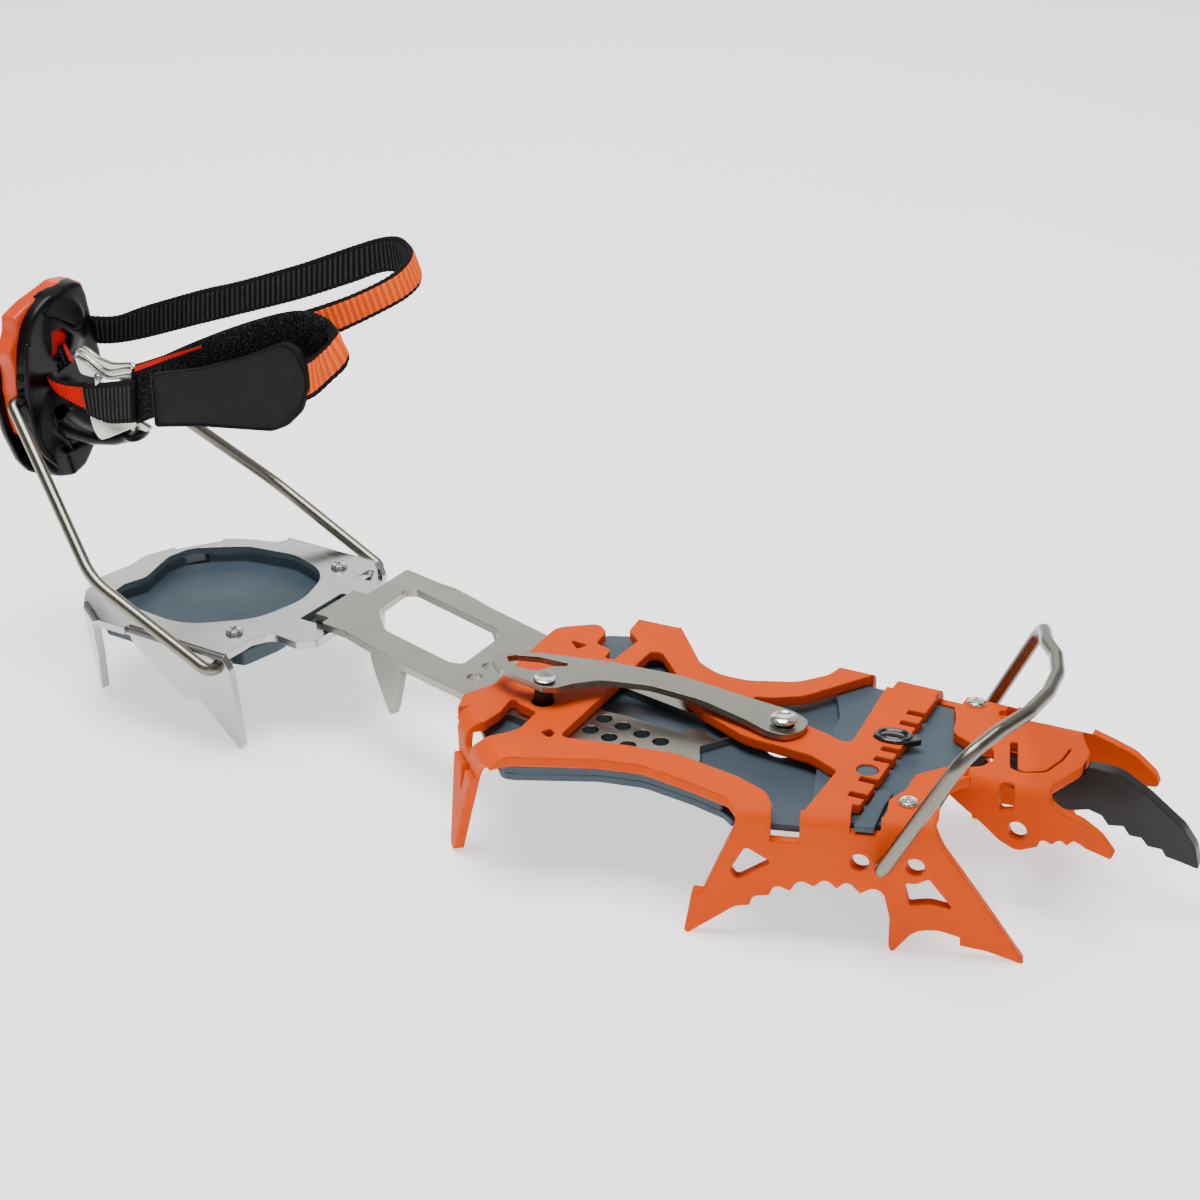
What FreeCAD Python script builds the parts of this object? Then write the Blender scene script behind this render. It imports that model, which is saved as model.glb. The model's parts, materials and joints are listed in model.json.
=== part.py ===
import FreeCAD, Part
import math
import os

# Single right-foot ice crampon with an adjustable linking bar, in millimetres.
# +X points to the toe, +Y to the inner side of the foot, +Z up, spike tips on Z = 0.

V = FreeCAD.Vector
doc = FreeCAD.newDocument("crampon")

# ---------------------------------------------------------------- driving dimensions
DIMS = {
    "web_top": 40.8,           # upper face of the front frame above the ground
    "web_thick": 3.0,
    "bar_top": 37.5,
    "bar_thick": 2.5,
    "heel_top": 34.7,
    "heel_thick": 2.5,
    "frame_yaw": 6.0,          # front frame turned towards the inner side, degrees
    "toe_line_x": 201.0,       # front frame's own origin, before centring
    "toe_line_y": 14.0,
    "near_wall_angle": 16.0,   # side plates converge towards the toe, degrees
    "near_wall_y": -50.5,
    "far_wall_angle": -2.0,
    "far_wall_y": 31.6,
    "nose_near_y": -14.0,
    "nose_far_y": 26.0,
    "point_y": 6.0,
    "point_thick": 4.0,
    "wire_radius": 2.0,
    "wire_hole_radius": 2.1,
    "bail_hole_u": 7.0,
    "bail_hole_z": 27.6,
    "adjust_angle": -8.3,      # line of the adjustment holes, degrees
    "adjust_pitch": 7.0,
    "adjust_hole_radius": 2.4,
    "pad_thick": 2.0,
    "lever_thick": 2.0,
    "strap_width": 13.0,
    "strap_thick": 2.4,
    "screw_head_radius": 2.8,
    "screw_shank_radius": 1.6,
    "heel_axle_x": -107.5,
    "heel_axle_z": 92.0,
    "heel_pivot_x": -11.0,
    "heel_pivot_z": 30.0,
    "heel_mid_y": -1.75,
    "centre_x": 82.45,         # plan centre of the whole crampon, which becomes X = Y = 0
    "centre_y": -5.01,
}

sheet = doc.addObject("Spreadsheet::Sheet", "dims")
for row, (alias, value) in enumerate(DIMS.items(), start=1):
    sheet.set("A%d" % row, alias)
    sheet.set("B%d" % row, repr(value))
    sheet.setAlias("B%d" % row, alias)
doc.recompute()


def dim(alias):
    return float(sheet.get(alias))


GROUND = FreeCAD.Placement(V(-dim("centre_x"), -dim("centre_y"), 0), FreeCAD.Rotation())
FRONT = GROUND.multiply(FreeCAD.Placement(
    V(dim("toe_line_x"), dim("toe_line_y"), 0),
    FreeCAD.Rotation(V(0, 0, 1), dim("frame_yaw"))))
nodes = {}


# ---------------------------------------------------------------- geometry helpers
def corner_cut(before, corner, after, radius):
    """Tangent points and middle of the arc that rounds one corner."""
    to_before = (before - corner)
    to_after = (after - corner)
    half = to_before.getAngle(to_after) / 2
    reach = radius / math.tan(half)
    reach = min(reach, 0.48 * to_before.Length, 0.48 * to_after.Length)
    radius = reach * math.tan(half)
    to_before.normalize()
    to_after.normalize()
    bisector = (to_before + to_after).normalize()
    start = corner + to_before * reach
    end = corner + to_after * reach
    middle = corner + bisector * (radius / math.sin(half) - radius)
    return start, middle, end


def loop_edges(points, closed=True):
    """Lines through points (x, y[, z]) with an optional last value: the corner radius."""
    size = 2 if closed else 3
    corners = [V(*p[:size]) if size == 3 else V(p[0], p[1], 0) for p in points]
    radii = [p[size] if len(p) > size else 0.0 for p in points]
    count = len(corners)
    cuts = []
    for i, corner in enumerate(corners):
        at_end = not closed and i in (0, count - 1)
        if radii[i] <= 0 or at_end:
            cuts.append((corner, None, corner))
        else:
            cuts.append(corner_cut(corners[i - 1], corner, corners[(i + 1) % count], radii[i]))
    edges = []
    for i in range(count):
        if cuts[i][1] is not None:
            edges.append(Part.Arc(*cuts[i]))
        if i < count - 1 or closed:
            start = cuts[i][2]
            end = cuts[(i + 1) % count][0]
            if (end - start).Length > 1e-4:
                edges.append(Part.LineSegment(start, end))
    return edges


def profile(name, outlines, holes, place):
    sketch = doc.addObject("Sketcher::SketchObject", name + "_sketch")
    for outline in outlines:
        sketch.addGeometry(loop_edges(outline), False)
    for x, y, radius in holes:
        sketch.addGeometry(Part.Circle(V(x, y, 0), V(0, 0, 1), radius), False)
    sketch.Placement = place
    return sketch


def slab(name, outlines, place, thick, holes=(), back=False):
    """A sketch pushed out of its plane by a thickness, which may be a sheet alias."""
    body = doc.addObject("Part::Extrusion", name)
    body.Base = profile(name, outlines, holes, place)
    body.DirMode = "Normal"
    body.Solid = True
    body.FaceMakerClass = "Part::FaceMakerBullseye"
    side = "LengthRev" if back else "LengthFwd"
    if isinstance(thick, str):
        body.setExpression(side, "dims." + thick)
        body.setExpression("LengthRev" if not back else "LengthFwd", "0")
    else:
        setattr(body, side, thick)
        setattr(body, "LengthRev" if not back else "LengthFwd", 0.0)
    return body


def flat(z, group=GROUND):
    return group.multiply(FreeCAD.Placement(V(0, 0, z), FreeCAD.Rotation()))


def upright(x, y, angle, group=GROUND, z=0.0, tilt=0.0):
    """Sketch plane standing on a line: sketch X runs along it, sketch Y goes up."""
    turn = FreeCAD.Rotation(V(0, 0, 1), angle).multiply(FreeCAD.Rotation(V(1, 0, 0), 90 + tilt))
    return group.multiply(FreeCAD.Placement(V(x, y, z), turn))


def rod(name, start, end, radius, group=GROUND):
    """Cylinder between two points; radius may be a sheet alias."""
    body = doc.addObject("Part::Cylinder", name)
    axis = V(*end) - V(*start)
    body.Height = axis.Length
    if isinstance(radius, str):
        body.setExpression("Radius", "dims." + radius)
    else:
        body.Radius = radius
    body.Placement = group.multiply(FreeCAD.Placement(V(*start), FreeCAD.Rotation(V(0, 0, 1), axis)))
    return body


def block(name, low, high, group=GROUND):
    body = doc.addObject("Part::Box", name)
    body.Length = high[0] - low[0]
    body.Width = high[1] - low[1]
    body.Height = high[2] - low[2]
    body.Placement = group.multiply(FreeCAD.Placement(V(*low), FreeCAD.Rotation()))
    return body


def fuse(name, parts):
    if len(parts) == 1:
        return parts[0]
    body = doc.addObject("Part::MultiFuse", name)
    body.Shapes = parts
    body.Refine = True
    return body


def cut(name, base, tools):
    body = doc.addObject("Part::Cut", name)
    body.Base = base
    body.Tool = fuse(name + "_tools", tools)
    body.Refine = True
    return body


def group_solids(name, parts):
    body = doc.addObject("Part::Compound", name)
    body.Links = parts
    return body


def rolled_edge(name, x, y, angle, start, end, radius, top, far=False, group=GROUND):
    """Tool that rounds the outside of a fold running from start to end along an angle."""
    reach = 2.2 * radius
    outline = [(-2, 2), (reach, 2), (reach, 0), (0, 0, radius), (0, -reach), (-2, -reach)]
    along = math.radians(angle)
    place = upright(x + start * math.cos(along), y + start * math.sin(along),
                    angle - 90 if far else angle + 90, group, z=top)
    return slab(name, [outline], place, end - start, back=far)


def wire_rod(name, points, group, radius_alias):
    """Round wire along a path with rounded bends, as one solid."""
    body = doc.addObject("Part::Feature", name)
    path = Part.Wire([edge.toShape() for edge in loop_edges(points, closed=False)])
    start = V(*points[0][:3])
    heading = V(*points[1][:3]) - start
    ring = Part.Wire([Part.Circle(start, heading, dim(radius_alias)).toShape()])
    body.Shape = path.makePipeShell([ring], True, False)
    body.Placement = group
    return body


def keep(label, body):
    body.Label = label
    nodes[label] = body


# ---------------------------------------------------------------- front frame
WEB_TOP = dim("web_top")
WEB_LOW = WEB_TOP - dim("web_thick")

WEB_EDGE = [
    (-124, 17, 6), (-124, -25, 5), (-129, -34, 3), (-126, -44), (-104, -66), (-100, -61, 5),
    (-77, -51.5, 15), (-64, -49, 15), (-48, -52, 8), (-36, -55, 3), (-32.2, -59), (18.5, -44.4),
    (17.5, -36, 5), (14, -27, 6), (17, -20, 4), (22, -13.2), (41, -13.2), (41.5, -10, 3), (46, 2, 7),
    (46.5, 11, 7), (42, 20, 4), (41, 25.2), (34, 25.2), (31, 20.5, 2), (28, 25.2), (24.5, 25.2),
    (22.5, 28, 2), (19.3, 30.2), (-32, 31.9), (-34.5, 31, 1), (-36, 24, 8), (-43, 15.5, 12), (-57, 10, 14),
    (-66, 10, 12), (-74, 14.5, 6), (-90, 35.5), (-103, 35.5), (-102.5, 25, 2), (-97, 19.5, 1),
    (-98.5, 5, 0.8), (-101.5, 5, 0.8), (-102, 10.5, 2), (-108, 12.5, 2), (-108.5, 21, 2),
    (-113, 25, 3),
]
REAR_WINDOW = [
    (-115.1, -29.3, 1), (-111.2, -32.2, 1.5), (-104.6, -34.4, 1.5), (-104.7, -44.9, 4),
    (-107.2, -49.3, 4), (-112.6, -54.2, 1), (-112.5, -60), (-122, -54), (-116.3, -49.8, 3),
    (-114.3, -39, 2),
]
REAR_DROP = [(8.9, 46), (8.6, 34.4, 1.5), (12, 32.6, 1.5), (17, 40, 1), (17.4, 46)]
MIDDLE_WINDOW = [
    (-92.5, -44.5, 2), (-90.5, 15, 2.5), (-87, 15.5, 2.5), (-76, 3, 6), (-69, -7.5, 8),
    (-61, -13.5, 12), (-45, -21.5, 15), (-24, -23.5, 8), (-14.5, -28.5, 2), (-15.5, -60),
    (-23, -62), (-23.5, -54, 4), (-28, -47.5, 6), (-38, -43.3, 10), (-58, -39, 15), (-72, -40.5, 15),
]
FAR_WINDOW = [
    (-54, 0.8, 2), (-46, 3.2, 10), (-38, 8.3, 8), (-30, 20.4, 8), (-24.6, 28.5, 1), (-24.2, 36),
    (-18.4, 36), (-18.2, 28, 1), (-16, -13.5, 2.5), (-25, -10, 5), (-34, -7, 8),
]
TOE_WINDOW = [
    (-2.5, 27, 1), (-2.5, -39, 2), (-3, -56), (5.4, -56), (5, -43, 2), (3.5, -37, 3),
    (6, -30, 5), (5.7, -21.5, 5), (12, -13.5, 8), (21, -9, 3), (23, -4, 3), (21, 2.5, 2.5),
    (16, 1.5, 4), (8, 6, 5), (6.5, 14, 6), (3.5, 22, 3), (3, 27, 1),
]
NOTCHES = [12.0, 5.3, -11.2, -17.4, -29.8, -38.5]      # slots along the toe window's rear edge
NOTCH_DEPTH = 5.0
NOTCH_WIDTH = 2.8


NOSE_TONGUE_SLOT = [
    (24.2, 7.6, 0.6), (28.3, -6.5, 2), (32, -7.8, 3), (38, -4.6, 3), (40.6, 4, 3), (41.2, 11),
    (40.5, 11), (39.9, 4.2, 3), (37.5, -4, 3), (32, -7, 2), (30.3, -5.6, 0.6), (26.3, 8.6, 0.6),
]
LOBE_HOLE = [(16.2, 24, 1), (20.6, 26.6, 1), (22.4, 22.4, 1), (18, 19.4, 1)]


def frame_web():
    web = slab("web", [WEB_EDGE], flat(WEB_LOW, FRONT), "web_thick")
    windows = [REAR_WINDOW, MIDDLE_WINDOW, FAR_WINDOW, TOE_WINDOW]
    tools = [slab("windows", windows, flat(WEB_LOW - 1, FRONT), 5.0)]
    for number, v in enumerate(NOTCHES):
        low = (-2.5 - NOTCH_DEPTH, v - NOTCH_WIDTH / 2, WEB_LOW - 1)
        high = (0.0, v + NOTCH_WIDTH / 2, WEB_TOP + 1)
        tools.append(block("notch_%d" % number, low, high, FRONT))
    tools.append(rod("web_bite", (-7, -24.5, WEB_LOW - 1), (-7, -24.5, WEB_TOP + 1), 3.2, FRONT))
    small = [[(-116.4, 11.4, 0.6), (-111.6, 6.4, 0.6), (-109.8, 10.4, 0.6)],
             [(-98.4, -44.4, 0.8), (-96.7, -41.2, 0.8), (-94.2, -43.4, 0.8), (-94.6, -46.4, 0.8)]]
    tools.append(slab("pad_hole", small, flat(WEB_LOW - 1, FRONT), 5.0))
    tools.append(slab("nose_slot", [NOSE_TONGUE_SLOT], flat(WEB_LOW - 1, FRONT), 5.0))
    tools.append(slab("lobe_hole", [LOBE_HOLE], flat(WEB_LOW - 1, FRONT), 5.0))
    return cut("web_cut", web, tools)


# Side plate outline: distance along the plate, height.  Three ground points, scallops between.
SIDE_EDGE = [
    (-33.5, WEB_TOP), (-33.3, 36, 3), (-41.8, 13.5, 0.6), (-44.6, 13.8, 1), (-46.6, 0.6, 0.8),
    (-45.4, 0.0, 0.4), (-38, 5.8, 6), (-32.6, 10.2, 6), (-28.6, 10.8, 1), (-28, 13.8, 2),
    (-23.4, 14.6, 0.6), (-22, 18.2, 2.5), (-17.8, 16.6, 0.5), (-15.5, 20.6, 3), (-11.4, 18.6, 0.4),
    (-8.5, 21.6, 3), (-5.2, 18.6, 0.4), (-2.6, 21.4, 3), (1.2, 17.8, 0.4), (4.5, 20, 3),
    (7.5, 18.5, 5), (9.4, 11, 8), (9.6, 2.0, 1), (10.2, 0.2, 0.5), (11.3, 0.4, 0.5), (16.5, 7.6, 8),
    (23, 8.2, 8), (28.6, 6.6, 0.5), (28.8, 4, 0.4), (36, 3, 12), (45.4, 0, 0.6), (46.2, 0.7, 0.4),
    (33.1, 19.4, 15), (22.5, 34, 12), (19.5, WEB_TOP),
]
SIDE_TRIANGLE = [(-30.4, 29.4, 1.2), (-23, 25.2, 0.6), (-32.4, 18.8, 1.2), (-34.4, 21.6, 0.8)]
SIDE_DIAMOND = [(12.6, 22.3, 0.8), (16, 22.3, 4), (19.2, 24.3, 1), (26.4, 15.2, 0.5),
                (20, 16.6, 8), (14.6, 15.4, 0.6)]
SPARE_HOLES = [0.4, 14.6]
SPARE_RADIUS = 2.6
WINDOW_DROP = [(-23.8, 44), (-23.8, 32), (-16, 32), (-16, 44)]
TOE_DROP = [(-2.6, 44), (-2.6, 36.4), (5.6, 36.4), (5.6, 44)]


def side_plate(name, y, angle, back):
    plate = slab(name, [SIDE_EDGE, SIDE_TRIANGLE, SIDE_DIAMOND],
                 upright(0, y, angle, FRONT), "web_thick", back=back)
    reach = 8.0
    place = upright(0, y, angle, FRONT)
    opening = []
    for number, drop in enumerate([WINDOW_DROP, TOE_DROP]):
        opening.append(slab("%s_drop_%d" % (name, number), [drop], place, reach, back=back))
    return plate, opening


NOSE_EDGE = [
    (14, WEB_TOP), (13, 33, 3), (18.5, 29.2, 5), (23, 26.2, 6), (29, 21.6, 5), (34, 19.6, 4),
    (39.6, 22.4, 1), (40.4, 25.2, 1.5), (43.6, 24.2, 0.4), (45.5, 26.4, 1.5), (47.6, 25, 0.4),
    (49.8, 27.4, 1.5), (53, 25.4, 2), (59.8, 23.8, 0.7), (60.5, 25.2, 0.7), (56.4, 30, 8),
    (50.6, 33.4, 8), (45, 34.6, 4), (42, 36.5, 3), (41, WEB_TOP),
]
FAR_NOSE_EDGE = [
    (14, WEB_TOP), (13, 33, 3), (18.5, 29.2, 5), (23, 26.2, 6), (29, 22, 5), (36, 21.5, 6),
    (45, 27, 8), (53.2, 28.4, 8), (61, 27.4, 1), (64.6, 28, 1), (63, 31.5, 4), (56.6, 36.6, 10),
    (49.3, 39, 8), (43, WEB_TOP), (41, WEB_TOP),
]
NOSE_SLOT = [(27.4, 39, 1.2), (31.6, 39.4, 1.2), (32.2, 32, 1.5), (27.9, 30.8, 1)]
NOSE_HOLE_U = 33.6
NOSE_HOLE_Z = 26.0
BOLT_U = 37.2
BOLT_Z = 31.0
BOLT_START = -13.0           # the bolt ends inside the near cheek


def nose_cheek(name, outline, y, back):
    start_u = 22.0
    place = upright(0, y, 0, FRONT)
    cheek = slab(name, [outline], place, "web_thick", back=back)
    trim = block(name + "_trim", (0, y - 5, WEB_TOP - 1.5), (start_u, y + 5, WEB_TOP + 1), FRONT)
    return cut(name + "_cut", cheek, [trim])


SCREWS = [(8.8, -36.5), (9.0, 25.5)]
PIN_U = -106.0
PIN_V = -27.8
RIVET_U = -35.8
RIVET_V = -14.5


def front_frame():
    parts = [frame_web()]
    near, near_open = side_plate("near_side", dim("near_wall_y"), dim("near_wall_angle"), True)
    far, far_open = side_plate("far_side", dim("far_wall_y"), dim("far_wall_angle"), False)
    parts += [near, far]
    parts.append(nose_cheek("near_cheek", NOSE_EDGE, dim("nose_near_y"), True))
    parts.append(nose_cheek("far_cheek", FAR_NOSE_EDGE, dim("nose_far_y"), False))
    top = WEB_TOP + 0.2
    rear = [(0, top), (2.4, 26, 12), (6.6, 1.5, 0.8), (8, 0.36, 0.8), (10.4, 0.9, 0.8), (14.6, 16, 20),
            (19, 31, 12), (24, 36.5, 6), (31.1, top - 2.5, 2), (31.1, top)]
    hole = [(9.1, 29.6, 0.6), (14, 31, 0.6), (11.1, 19.4, 0.5)]
    parts.append(slab("near_rear_point", [rear, hole],
                      upright(-129.5, -47.5, -45, FRONT, tilt=-6.8), "web_thick", back=True))
    far_rear = [(-103, WEB_TOP), (-102.6, 20, 12), (-101, 1, 0.8), (-99.4, 0, 0.8), (-97.6, 1, 0.8),
                (-92, 30, 6), (-90, WEB_TOP)]
    parts.append(slab("far_rear_point", [far_rear], upright(0, 35.5, 0, FRONT), "web_thick"))
    whole = fuse("frame_fused", parts)
    hole_z = dim("bail_hole_z")
    tools = near_open + far_open
    tools.append(rod("bail_bore", (dim("bail_hole_u"), -70, hole_z), (dim("bail_hole_u"), 60, hole_z),
                     "wire_hole_radius", FRONT))
    for number, u in enumerate(SPARE_HOLES):
        tools.append(rod("spare_bore_%d" % number, (u, -70, hole_z), (u, 60, hole_z),
                         SPARE_RADIUS, FRONT))
    tools.append(rod("nose_hole", (NOSE_HOLE_U, -30, NOSE_HOLE_Z), (NOSE_HOLE_U, 40, NOSE_HOLE_Z),
                     2.8, FRONT))
    tools.append(rod("point_bolt_bore", (BOLT_U, BOLT_START, BOLT_Z), (BOLT_U, 40, BOLT_Z), 2.2, FRONT))
    slot_place = upright(0, dim("nose_near_y"), 0, FRONT)
    tools.append(slab("cheek_slot", [NOSE_SLOT], slot_place, "web_thick", back=True))
    rear_place = upright(-129.5, -47.5, -45, FRONT, tilt=-6.8)
    tools.append(slab("rear_drop", [REAR_DROP], rear_place, 7.0, back=True))
    for number, (u, v) in enumerate(SCREWS):
        tools.append(rod("screw_bore_%d" % number, (u, v, WEB_LOW - 1), (u, v, WEB_TOP + 1), 1.8, FRONT))
    tools.append(rod("pin_hole", (PIN_U, PIN_V, WEB_LOW - 1), (PIN_U, PIN_V, WEB_TOP + 1), 3.4, FRONT))
    tools.append(rod("rivet_hole", (RIVET_U, RIVET_V, WEB_LOW - 1), (RIVET_U, RIVET_V, WEB_TOP + 1),
                     2.3, FRONT))
    tools.append(rolled_edge("near_fold", 0, dim("near_wall_y"), dim("near_wall_angle"), -36, 21, 4.0,
                             WEB_TOP, group=FRONT))
    tools.append(rolled_edge("far_fold", 0, dim("far_wall_y"), dim("far_wall_angle"), -36, 21, 4.0,
                             WEB_TOP, far=True, group=FRONT))
    tools.append(rolled_edge("near_nose_fold", 0, dim("nose_near_y"), 0, 18, 44, 5.0, WEB_TOP, group=FRONT))
    tools.append(rolled_edge("far_nose_fold", 0, dim("nose_far_y"), 0, 18, 44, 5.0, WEB_TOP, far=True,
                             group=FRONT))
    tools.append(rolled_edge("near_rear_fold", -126, -44, -45, -2, 32, 5.5, WEB_TOP, group=FRONT))
    tools.append(rolled_edge("far_rear_fold", 0, 35.5, 0, -104, -89, 3.0, WEB_TOP, far=True, group=FRONT))
    return cut("frame_cut", whole, tools)


keep("front_frame", front_frame())

# ---------------------------------------------------------------- front anti-snow plate
PAD_TOP = 35.0
PAD_FOOT = 30.0
PAD_EDGE = [
    (-121, -24, 5), (-122, -38, 3), (-102.5, -60.5, 3), (-99, -60, 4), (-77, -50.6, 12), (-64, -48.2, 12),
    (-48, -50.8, 8), (-38, -53.5, 2), (-34.5, -56.2, 1), (12, -43.2, 3), (14, -40, 2), (14, 22.8, 3), (11, 24.5, 2),
    (-30, 28.8, 2), (-34, 27.6, 2), (-42, 16.5, 10), (-57, 10.5, 12), (-66, 10.5, 10), (-74, 15, 6),
    (-89.5, 32.2, 2), (-104, 32.2, 2), (-112, 29, 3), (-115, 22, 4), (-121, 16, 5),
]
PAD_RIM = [
    (-108, -52.6), (-102.5, -60.4, 2), (-98.6, -59.8, 4), (-77, -50.5, 12), (-64, -48.1, 12),
    (-48, -50.7, 8), (-38, -53.4, 1), (-38.5, -50.6, 1), (-48, -48.4, 8), (-63, -45.8, 10),
    (-78, -48.2, 10), (-99, -56.6, 2), (-104, -51, 2),
]
PAD_BLOCK = [
    (-20, -31, 3), (-15, -48, 4), (-10, -49.4, 3), (12, -43, 4), (13, -28, 5), (12, -10, 3), (12, 20, 3),
    (10, 24.2, 2), (-30, 28.8, 3), (-33, 22, 8), (-26, 6, 8), (-24, -16, 8),
]


def front_antiball():
    base = slab("pad_base", [PAD_EDGE], flat(PAD_TOP - dim("pad_thick"), FRONT), "pad_thick")
    rim = slab("pad_rim", [PAD_RIM], flat(PAD_TOP, FRONT), WEB_LOW - 0.3 - PAD_TOP)
    raised = slab("pad_block", [PAD_BLOCK], flat(PAD_FOOT, FRONT), WEB_LOW - 0.3 - PAD_FOOT)
    boss = rod("pad_boss", (-7, -24.5, PAD_TOP), (-7, -24.5, WEB_TOP - 0.4), 3.0, FRONT)
    # tongue that leaves through the notch in the near fold
    tongue = slab("pad_tongue", [[(-1.6, -30, 1), (-1.6, -51.4, 0.6), (3.8, -50, 0.6), (2.6, -38, 1), (2.6, -30, 1)]],
                  flat(WEB_LOW - 0.3, FRONT), 1.6)
    whole = fuse("pad_fused", [base, rim, raised, tongue, boss])
    tools = [rod("pad_screw_%d" % n, (u, v, 25), (u, v, 39), 1.65, FRONT)
             for n, (u, v) in enumerate(SCREWS)]
    low = PAD_TOP - dim("pad_thick")
    tools.append(rod("pad_rivet", (RIVET_U, RIVET_V, low - 1), (RIVET_U, RIVET_V, 38), 4.6, FRONT))
    return cut("pad_cut", whole, tools)


def front_screws():
    parts = []
    for number, (u, v) in enumerate(SCREWS):
        head = rod("front_screw_head_%d" % number, (u, v, WEB_TOP), (u, v, WEB_TOP + 1.2),
                   "screw_head_radius", FRONT)
        shank = rod("front_screw_shank_%d" % number, (u, v, 30.5), (u, v, WEB_TOP + 0.5),
                    "screw_shank_radius", FRONT)
        parts.append(fuse("front_screw_%d" % number, [head, shank]))
    return group_solids("front_screws", parts)


def antiball_clip():
    foot = slab("clip_foot", [[(-11, -7.2, 2), (-11, -1.6, 2), (1.6, -0.6, 1), (1.6, -6.6, 1)]],
                flat(WEB_TOP, FRONT), 1.8)
    hook = block("clip_hook", (-1.6, -6.4, WEB_LOW - 0.3), (1.6, -0.8, WEB_TOP + 1.8), FRONT)
    return fuse("clip", [foot, hook])


# ---------------------------------------------------------------- front point
BLADE = [
    (14.4, 37.4), (46.8, 37.4), (47.3, 40.4, 1), (56, 40.4, 12), (64.8, 35.4, 20), (75.4, 27.6, 8),
    (79.3, 22.4, 5), (80.9, 16.0, 0.5), (75.2, 17.1, 1), (71.5, 17.7, 0.6), (70.2, 19.7, 0.5),
    (66.3, 19.6, 0.6), (64.4, 21.8, 0.5), (61, 21.7, 0.6), (59.1, 24.2, 0.5), (54.9, 23.4, 0.6),
    (52.7, 26.1, 0.5), (48.9, 27, 2), (44.7, 25.6, 3), (39.5, 25.4, 3), (33, 26.8, 4), (24, 29, 6), (14.4, 31.5),
]


def front_point():
    inner = dim("point_y") + dim("point_thick") / 2
    blade = slab("point_blade", [BLADE], upright(0, inner, 0, FRONT), "point_thick",
                 [(BOLT_U, BOLT_Z, 2.2), (20.0, 34.0, 2.2)])
    return blade


def front_point_bolts():
    far = dim("nose_far_y")
    shank = rod("point_bolt_shank", (BOLT_U, BOLT_START + 0.3, BOLT_Z), (BOLT_U, far + 1, BOLT_Z), 2.1, FRONT)
    head = rod("point_bolt_head", (BOLT_U, far, BOLT_Z), (BOLT_U, far + 2.4, BOLT_Z), 3.6, FRONT)
    return fuse("point_bolt", [shank, head])


def front_point_spacers():
    parts = []
    low = dim("point_y") - dim("point_thick") / 2
    high = dim("point_y") + dim("point_thick") / 2
    spans = [(dim("nose_near_y") + dim("web_thick"), low), (high, dim("nose_far_y") - dim("web_thick"))]
    for number, (start, end) in enumerate(spans):
        tube = rod("spacer_%d" % number, (BOLT_U, start, BOLT_Z), (BOLT_U, end, BOLT_Z), 3.6, FRONT)
        bore = rod("spacer_bore_%d" % number, (BOLT_U, start - 1, BOLT_Z), (BOLT_U, end + 1, BOLT_Z),
                   2.2, FRONT)
        parts.append(cut("spacer_tube_%d" % number, tube, [bore]))
    return group_solids("spacers", parts)


# ---------------------------------------------------------------- leaf lever and its pin
LEVER_TILT = 3.6
HINGE_U = -29.7
HINGE_Z = 41.1
LEVER_EDGE = [
    (-124.9, -24.9, 2), (-123.6, -19.5, 3), (-115.4, -14, 10), (-93.9, -7.6, 30), (-72.8, -4.2, 30),
    (-52.5, -5.6, 15), (-36, -6.4, 6), (-29.7, -9.4, 5), (-29.9, -15.5, 5), (-33, -20.4, 5),
    (-39, -20.6, 4), (-47, -17.8, 12), (-62, -14.2, 20), (-78, -14.3, 15), (-91.5, -18.8, 10),
    (-97.5, -25, 3), (-100.5, -29.6, 4), (-104.5, -31.4, 3), (-112.3, -30, 6), (-119.5, -28.4, 4),
]
LEVER_SLOT = [
    (-121.8, -20.8, 0.8), (-119.6, -18.4, 1), (-113, -15.8, 2), (-101.2, -14.8, 1), (-107.6, -19.4, 2),
    (-110, -23.6, 1.5), (-115.5, -24.8, 1.5), (-119.5, -23.6, 1.5),
]


def lever_frame():
    turn = FreeCAD.Rotation(V(0, 1, 0), LEVER_TILT)
    return FRONT.multiply(FreeCAD.Placement(V(HINGE_U, 0, HINGE_Z), turn))


def in_lever(points):
    return [(p[0] - HINGE_U,) + tuple(p[1:]) for p in points]


def leaf_lever():
    return slab("lever_leaf", [in_lever(LEVER_EDGE), in_lever(LEVER_SLOT)], lever_frame(), "lever_thick",
                [(RIVET_U - HINGE_U, RIVET_V, 3.0), (PIN_U - HINGE_U, PIN_V + 0.4, 2.3)])


def lever_pin():
    group = lever_frame()
    u = PIN_U - HINGE_U
    v = PIN_V + 0.4
    top = dim("lever_thick")
    body = rod("pin_body", (u, v, -7.9), (u, v, 0), 2.8, group)
    neck = rod("pin_neck", (u, v, -0.5), (u, v, top), 2.3, group)
    cap = rod("pin_cap", (u, v, top), (u, v, top + 0.6), 3.2, group)
    return fuse("pin", [body, neck, cap])


def lever_rivet():
    u = RIVET_U
    v = RIVET_V
    shank = rod("rivet_shank", (u, v, 36.0), (u, v, 45.5), 2.2, FRONT)
    foot = rod("rivet_foot", (u, v, 35.6), (u, v, WEB_LOW), 4.0, FRONT)
    head = rod("rivet_head", (u, v, 44.7), (u, v, 46.4), 3.9, FRONT)
    return fuse("rivet", [shank, foot, head])


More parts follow.
